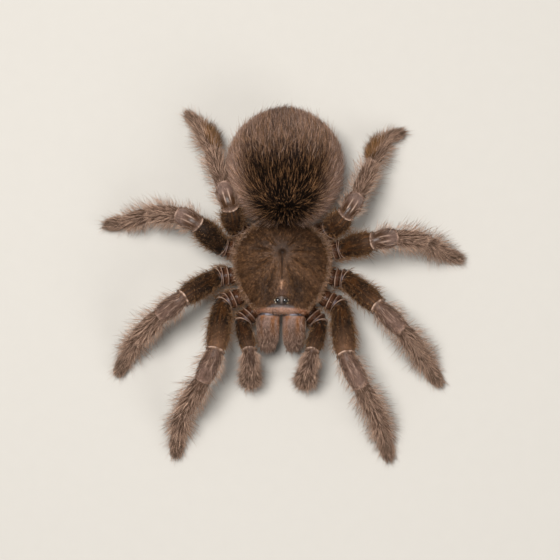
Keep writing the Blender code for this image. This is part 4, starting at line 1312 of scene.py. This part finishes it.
def clypeus_share(x, y):
    """The bare strip between the eyes and the front band, painted bluish grey with its sheen."""
    half_width = 2.0 + 1.6 * rise(-10.2, -11.2, y)
    return rise(-10.1, -10.4, y) * (1 - rise(half_width - 0.4, half_width + 0.4, abs(x)))


def carapace_marking(u, v):
    """Olive brown, darker beside the head, with paler rays, rim and midline, and painted shade in the
    grooves, the crease and the fovea.
    """
    heading, from_pit, share, x, y = on_shield(u, v)
    rays = grain(np.degrees(heading) / 5.0, share * 3.0, 5)
    outer = rise(0.15, 0.6, share)
    flank = hump(abs(x), 4.0, 2.6) * between(y, -1.0, -5.0, -10.5, -12.0)
    colour = layered(np.tile(linear(CARAPACE_BROWN), (len(u), 1)),
                     (CARAPACE_PALE, 0.3 * rise(0.45, 0.9, rays) * outer),
                     (CARAPACE_DARK, 0.4 * rise(0.5, 0.1, rays) * outer),
                     (CARAPACE_DARK, 0.6 * rise(1.0, 6.0, y)),
                     (CARAPACE_DARK, 0.75 * flank))
    # Painted shade along the radial grooves
    groove_shade = np.sin(np.pi * np.minimum(1.0, share / GROOVE_END)) ** 2
    for groove in GROOVE_HEADINGS:
        colour = layered(colour, (CARAPACE_DARK, 0.75 * (hump(one_sided(heading), groove, 4.0) * groove_shade)))
    midline = hump(x, 0.0, 0.9 + 0.1 * np.clip(1 - y, 0, None)) * rise(1.0, -3.0, y)
    fleck = grain(np.degrees(heading) / 1.6, from_pit / 0.45, 15)
    # Of these layers, the dark on the crease and the dark in and about the fovea's pit are painted shade
    colour = layered(colour, (CARAPACE_PALE, 0.45 * midline),
                     (ABDOMEN_DARK, hump(x, 0.0, 0.22) * crease_length(y)),
                     (CAPUT_ROSE, 0.7 * hump(x, 0.0, 1.1) * between(y, -5.0, -6.5, -8.0, -9.0)),
                     (MIDLINE_GOLD, hump(x, 0.0, 0.3) * between(y, -3.8, -4.2, -5.8, -6.8)),
                     (CARAPACE_DARK, 0.8 * hump(from_pit, 0.0, 2.0)),
                     (ABDOMEN_DARK, 0.8 * hump(from_pit, 0.0, 0.6)),
                     (CARAPACE_GOLD, 0.3 * rise(0.55, 0.85, fleck) * rise(1.5, 4.0, from_pit)))
    # The bare strip before the eyes is painted bluish grey, as its sheen
    colour = layered(colour * (0.72 + 0.5 * fleck)[:, None],
                     (TUFT_TAN, 0.9 * rise(0.93, 0.98, share)),
                     (CLYPEUS_SHEEN_GREY, 0.85 * clypeus_share(x, y)))
    mottle = grain(x / 0.3, y / 0.4, 19)
    reddish = 0.2 + 0.6 * rise(2.5, 7.0, abs(x)) + 0.9 * (mottle - 0.4)
    band = mix(linear(RIM_PALE), linear(RIM_ORANGE), reddish)
    colour = mix(colour, band * (0.7 + 0.6 * mottle)[:, None], front_band(x, y))
    return layered(colour, (UNDERSIDE_BROWN, rise(TOP_SHARE + 0.02, TOP_SHARE + 0.05, v)))


def carapace_fur(u, v):
    """Short fur all over the top, thin in the fovea, on the crease and before the eyes."""
    _, reach, _, x, y = on_shield(u, v)
    bare = np.maximum(hump(reach, 0.0, 0.5), 0.9 * hump(x, 0.0, 0.3) * crease_length(y))
    clypeus = clypeus_share(x, y) * (1 - front_band(x, y))
    eyes_place = hump(x, 0.0, 1.5) * hump(y, TURRET_CENTRE[1], 1.1)
    return np.clip(1 - bare - 0.9 * eyes_place - 0.8 * clypeus, 0.0, 1.0)


def carapace_down(u, v):
    """Lengths of the shield's fur, shortest about the fovea."""
    return 0.45 + 0.4 * rise(0.5, 4.0, on_shield(u, v)[1])


def fringe(u, v):
    """Where the fringe of long hairs stands: only at the edge."""
    return rise(0.88, 0.96, v / TOP_SHARE)


def fringe_reach(u, v):
    """Fringe hairs are short on the front edge."""
    heading = heading_at(u)
    _, y = plan(heading, carapace_reach(heading))
    return 1.7 + 0.9 * rise(0.0, 6.0, y) - 1.1 * rise(-9.5, -11.5, y)


def carapace():
    """The shield's plate, with its fur, the golden hairs in it and the fringe."""
    fur = toned(carapace_marking, CARAPACE_PALE, 0.0, 0.16, uneven=0.5)
    golden = toned(carapace_marking, TUFT_TAN, 0.4, 0.3, orange=0.5, uneven=0.3)
    pale = toned(carapace_marking, HAIR_PALE, 0.45, 0.25, orange=0.5)
    wrap("carapace_plate", carapace_surface, 144, 60, carapace_marking, ["carapace"])
    grow("carapace_coat", carapace_surface, (
        Hair(26000, carapace_down, 0.1, 24, fur, carapace_fur, stray=0.3, bent=False),
        Hair(3200, 1.0, 0.07, 24, golden, carapace_fur, stray=0.35, bent=False),
        Hair(4800, fringe_reach, 0.085, 16, pale, fringe, stray=0.4),
    ), (0.005, TOP_SHARE * 1.02), CARAPACE_SETAE)


# Eyes

# The cornea's height against its width, then the ring of cuticle at its foot: its radius and
# thickness as shares of the eye's radius, and how far below the eye's middle it lies
CORNEA_FLATNESS = 0.55
SOCKET_RADIUS = 1.04
SOCKET_THICKNESS = 0.24
SOCKET_DROP = 0.15
LARGE_EYE = 0.5


def carapace_top(x, y):
    """Height of the shield's upper side above places on the plan."""
    x = np.asarray(x, float) - FOVEA[0]
    y = np.asarray(y, float) - FOVEA[1]
    heading = np.arctan2(y, x)
    share = np.minimum(np.hypot(x, y) / carapace_reach(heading), 1.0)
    return carapace_height(heading, share) - CARAPACE_SINK


def turret_surface(u, v):
    """A low mound, from its crown to its foot and back underneath."""
    turn = heading_at(u)
    lean = np.pi * v
    half_width, half_length, height = TURRET_SIZE
    x = TURRET_CENTRE[0] + np.cos(turn) * np.sin(lean) * half_width * 1.1
    y = TURRET_CENTRE[1] + np.sin(turn) * np.sin(lean) * half_length * 1.1
    lift = np.where(lean < np.pi / 2, np.cos(lean), 0.25 * np.cos(lean))
    return np.stack((x, y, carapace_top(x, y) + TURRET_LIFT + lift * height), axis=1)


def turret_marking(u, v):
    """Dark down with a painted silvery sheen in a line between the eyes. The foot takes the colours
    about it, with the bare strip's painted grey sheen in front.
    """
    turn = heading_at(u)
    across = np.cos(turn) * np.sin(np.pi * v)
    colour = mix(linear(MOUND_BROWN), linear(MOUND_SHEEN), 0.75 * hump(across, 0.0, 0.12))
    foot = mix(linear(CLYPEUS_SHEEN_GREY), linear(CARAPACE_BROWN), rise(-0.5, 0.2, np.sin(turn)))
    return mix(colour, foot, rise(0.22, 0.42, v))


def eye(name, place, radius, cornea):
    """One glassy eye with a soft rim of cuticle round its foot."""
    centre = tuple(in_row(place))
    bpy.ops.object.select_all(action="DESELECT")
    bpy.ops.mesh.primitive_uv_sphere_add(segments=24, ring_count=16, radius=radius * MM, location=centre)
    bpy.ops.object.transform_apply(location=True, rotation=True, scale=True)
    bpy.ops.object.mode_set(mode="EDIT")
    bpy.ops.mesh.select_all(action="SELECT")
    bpy.ops.transform.resize(value=(1.0, 1.0, CORNEA_FLATNESS), center_override=centre)
    bpy.ops.object.mode_set(mode="OBJECT")
    bpy.ops.object.shade_smooth()
    fitted(bpy.context.object, name, cornea)
    bpy.ops.object.select_all(action="DESELECT")
    bpy.ops.mesh.primitive_torus_add(major_segments=28, minor_segments=10,
                                     major_radius=radius * SOCKET_RADIUS * MM,
                                     minor_radius=radius * SOCKET_THICKNESS * MM,
                                     location=tuple(in_row(place - UP * radius * SOCKET_DROP)))
    bpy.ops.object.transform_apply(location=True, rotation=True, scale=True)
    bpy.ops.object.shade_smooth()
    socket = bpy.context.object
    paint(socket.data, np.tile(linear(SOCKET_BROWN), (len(socket.data.vertices), 1)))
    fitted(socket, name + "_socket", SKIN)


def eyes():
    """The eye mound with its eight eyes and its down."""
    wrap("eye_mound", turret_surface, 40, 28, turret_marking, ["eye_turret"])
    half_width, half_length, height = TURRET_SIZE
    base = float(carapace_top(TURRET_CENTRE[0], TURRET_CENTRE[1])) + TURRET_LIFT
    for name, (x, y, radius) in zip(EYE_NAMES, EYES):
        slope = 1 - (x / (half_width + radius / 2)) ** 2 - (y / (half_length + radius / 2)) ** 2
        top = base + height * math.sqrt(max(0.0, slope)) - 0.1
        cornea = CORNEA if radius > LARGE_EYE else CLOUDY_CORNEA
        for side, mirror in MIRRORS.items():
            eye(f"{name}_{side}", TURRET_CENTRE + np.array((x * mirror, y, top)), radius, cornea)
    down = toned(turret_marking, HAIR_PALE, 0.1, 0.15)
    grow("eye_mound_down", turret_surface, (
        Hair(700, 0.45, 0.07, 40, down, bent=False, stray=0.3),
    ), (0.08, 0.5), CARAPACE_SETAE)


# Jaws

def jaw_marking(u, v):
    """Dusky velvet, with a warm brown patch on the base. Its bare root, in the gap under the shield, is
    painted dark as shade, with small painted glints.
    """
    warm = (1 - rise(0.3, 0.65, v)) * rise(0.2, 0.6, grain(u * 22, v * 4, 9))
    colour = layered(np.tile(linear(JAW_VELVET), (len(u), 1)), (JAW_ORANGE, 0.9 * warm))
    colour = colour * (0.8 + 0.4 * grain(u * 30, v * 6, 13))[:, None]
    # Painted shade at the root under the shield, with small painted glints on it
    root = 1 - rise(0.08, 0.1, v + 0.03 * (grain(u * 20, 0 * u, 17) - 0.5))
    glint = rise(0.45, 0.7, grain(u * 34, v * 90, 18)) * hump(u, 0.5, 0.08)
    colour = mix(colour, mix(linear(JAW_ROOT_SHADE), linear(GLINT), 0.9 * glint), root)
    return layered(colour, (UNDERSIDE_BROWN, 0.8 * rise(1.3, 2.0, abs(turn_at(u)))))


def jaw_root(u, v):
    """The bare polished root of a jaw, just under the front of the shield."""
    return 0.75 * (1 - rise(0.085, 0.11, v))


def jaw_reach(side, reach):
    """Hair lengths of a jaw: short where it faces the other jaw."""
    return lambda u, v: reach * (1 - 0.75 * rise(0.3, 0.8, MIRRORS[side] * np.sin(turn_at(u))))


def jaws():
    """Both jaws with their coats, and the fangs folded back under them."""
    dusky = toned(jaw_marking, HAIR_PALE, 0.06, 0.12, uneven=0.35)
    pale = toned(jaw_marking, HAIR_PALE, 0.55, 0.35)
    dull = toned(jaw_marking, HAIR_PALE, 0.4, 0.3)

    def most_below(u, v):
        return 0.15 + 0.85 * rise(0.15, 0.6, v)

    def at_end(u, v):
        return rise(0.45, 0.8, v)

    for side in MIRRORS:
        form = tapered(CHELICERA_PATH, CHELICERA_GIRTHS, side, (0.8, 2.4), roundness=0.75)
        wrap(f"jaw_{side}_skin", form.surface, 40, 48, jaw_marking, [f"chelicera_{side}"],
             bare=jaw_root)
        grow(f"jaw_{side}_coat", form.surface, (
            Hair(8500, jaw_reach(side, 0.8), 0.1, 22, dusky, bent=False, stray=0.15),
            Hair(2800, jaw_reach(side, 1.4), 0.075, 24, pale, most_below, stray=0.15),
            Hair(450, jaw_reach(side, 2.4), 0.09, 34, dull, at_end, stray=0.25),
        ), (0.095, 1.0), JAW_SETAE, form.flow)
        fang = tapered(FANG_PATH, FANG_GIRTHS, side, (0.4, 0.15))
        wrap(f"fang_{side}_horn", fang.surface, 24, 40, plain(HORN_BLACK), [f"fang_{side}"],
             material=FANG)


# Underside and waist

def sternum_surface(u, v):
    """A domed shield from its lowest middle to its edge, and flat above."""
    turn = 2 * np.pi * u
    lean = np.pi * v
    low, high = STERNUM_HEIGHTS
    reach = np.sin(lean) ** 0.6
    point = 1 + 0.06 * np.sin(turn) * reach
    x = np.cos(turn) * reach * (STERNUM_SIZE[0] - 0.3) * point
    y = np.sin(turn) * reach * (STERNUM_SIZE[1] - 0.3)
    z = (low + high) / 2 - np.cos(lean) * (high - low) / 2 + 0.2
    return np.stack((x, y, z), axis=1)


def spinneret_form(side):
    """A short ringed form, inside the box of its solid and spread a little to its side."""
    low, high = (np.array(corner) / MM + BOX_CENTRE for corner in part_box(f"spinneret_{side}"))
    middle = (low[0] + high[0]) / 2
    spread = 0.35 * MIRRORS[side]
    line = np.array(((middle - spread, low[1] - 0.8, high[2] - 0.9),
                     (middle + spread, high[1] - 0.1, low[2] + 0.5)))
    return Tube(line, table_girth(SPINNERET), (0.4, 0.4))


def underside():
    """Sternum, waist and spinnerets."""
    marking = plain(UNDERSIDE_BROWN)
    wrap("sternum_skin", sternum_surface, 40, 24, marking, ["sternum"])
    grow("sternum_coat", sternum_surface, (
        Hair(3500, 1.3, 0.13, 25, toned(marking, HAIR_PALE, 0.08, 0.08), bent=False, stray=0.3),
    ), (0.02, 0.5), UNDERSIDE_SETAE)
    waist = Tube(np.array(WAIST_PATH), table_girth(WAIST), (0.3, 0.3))
    wrap("waist_skin", waist.surface, 24, 16, marking, ["pedicel"])
    for side in MIRRORS:
        form = spinneret_form(side)
        wrap(f"spinneret_{side}_skin", form.surface, 20, 30, marking,
             [f"spinneret_{side}"])
        grow(f"spinneret_{side}_coat", form.surface, (
            Hair(500, 1.0, 0.09, 28, toned(marking, HAIR_PALE, 0.3, 0.15)),
        ), (0.05, 1.0), UNDERSIDE_SETAE, form.flow)


# Studio: places of the lights in metres, the widths of their faces, and their power in watts

PHOTO_TURN = 0.95
CAMERA_PLACE = np.array((-0.495, -3.929, 450.0))
VIEW_WIDTH = 156.8
FLOOR_WIDTH = 3.0
SOFTBOXES = (
    ("key_softbox", (-0.15, 0.14, 0.8), 0.28, 8.6),
    ("fill_softbox", (0.5, -0.35, 0.55), 0.5, 1.8),
)
AIR_LIGHT = 0.2


def camera():
    """The camera straight above, as for the photo."""
    data = bpy.data.cameras.new("camera")
    data.sensor_width = 36.0
    data.angle = 2 * math.atan(VIEW_WIDTH / 2 / CAMERA_PLACE[2])
    data.clip_start = 0.01
    made = bpy.data.objects.new("camera", data)
    made.location = tuple(in_row(CAMERA_PLACE))
    made.rotation_euler = (0, 0, math.radians(PHOTO_TURN))
    bpy.context.scene.collection.objects.link(made)
    bpy.context.scene.camera = made


def softbox(name, place, width, power):
    """A square light that faces the animal."""
    data = bpy.data.lights.new(name, "AREA")
    data.size = width
    data.energy = power
    made = bpy.data.objects.new(name, data)
    made.location = place
    aim = -np.array(place)
    made.rotation_euler = (math.atan2(math.hypot(aim[0], aim[1]), -aim[2]), 0,
                           math.atan2(aim[1], aim[0]) - math.pi / 2)
    bpy.context.scene.collection.objects.link(made)


def studio():
    """A pale floor, the camera, soft lights and the light of the room."""
    bpy.ops.object.select_all(action="DESELECT")
    bpy.ops.mesh.primitive_plane_add(size=FLOOR_WIDTH, location=(0, 0, 0))
    floor = bpy.context.object
    floor.name = "studio_floor"
    floor.data.materials.append(stage_material("matt painted floor", FLOOR_PAINT, 0.9))
    camera()
    for light in SOFTBOXES:
        softbox(*light)
    world = bpy.data.worlds.new("studio air")
    world.use_nodes = True
    air = world.node_tree.nodes["Background"]
    air.inputs["Color"].default_value = AIR
    air.inputs["Strength"].default_value = AIR_LIGHT
    bpy.context.scene.world = world
    bpy.context.scene.view_settings.view_transform = "Standard"


limbs()
abdomen()
carapace()
eyes()
jaws()
underside()
studio()
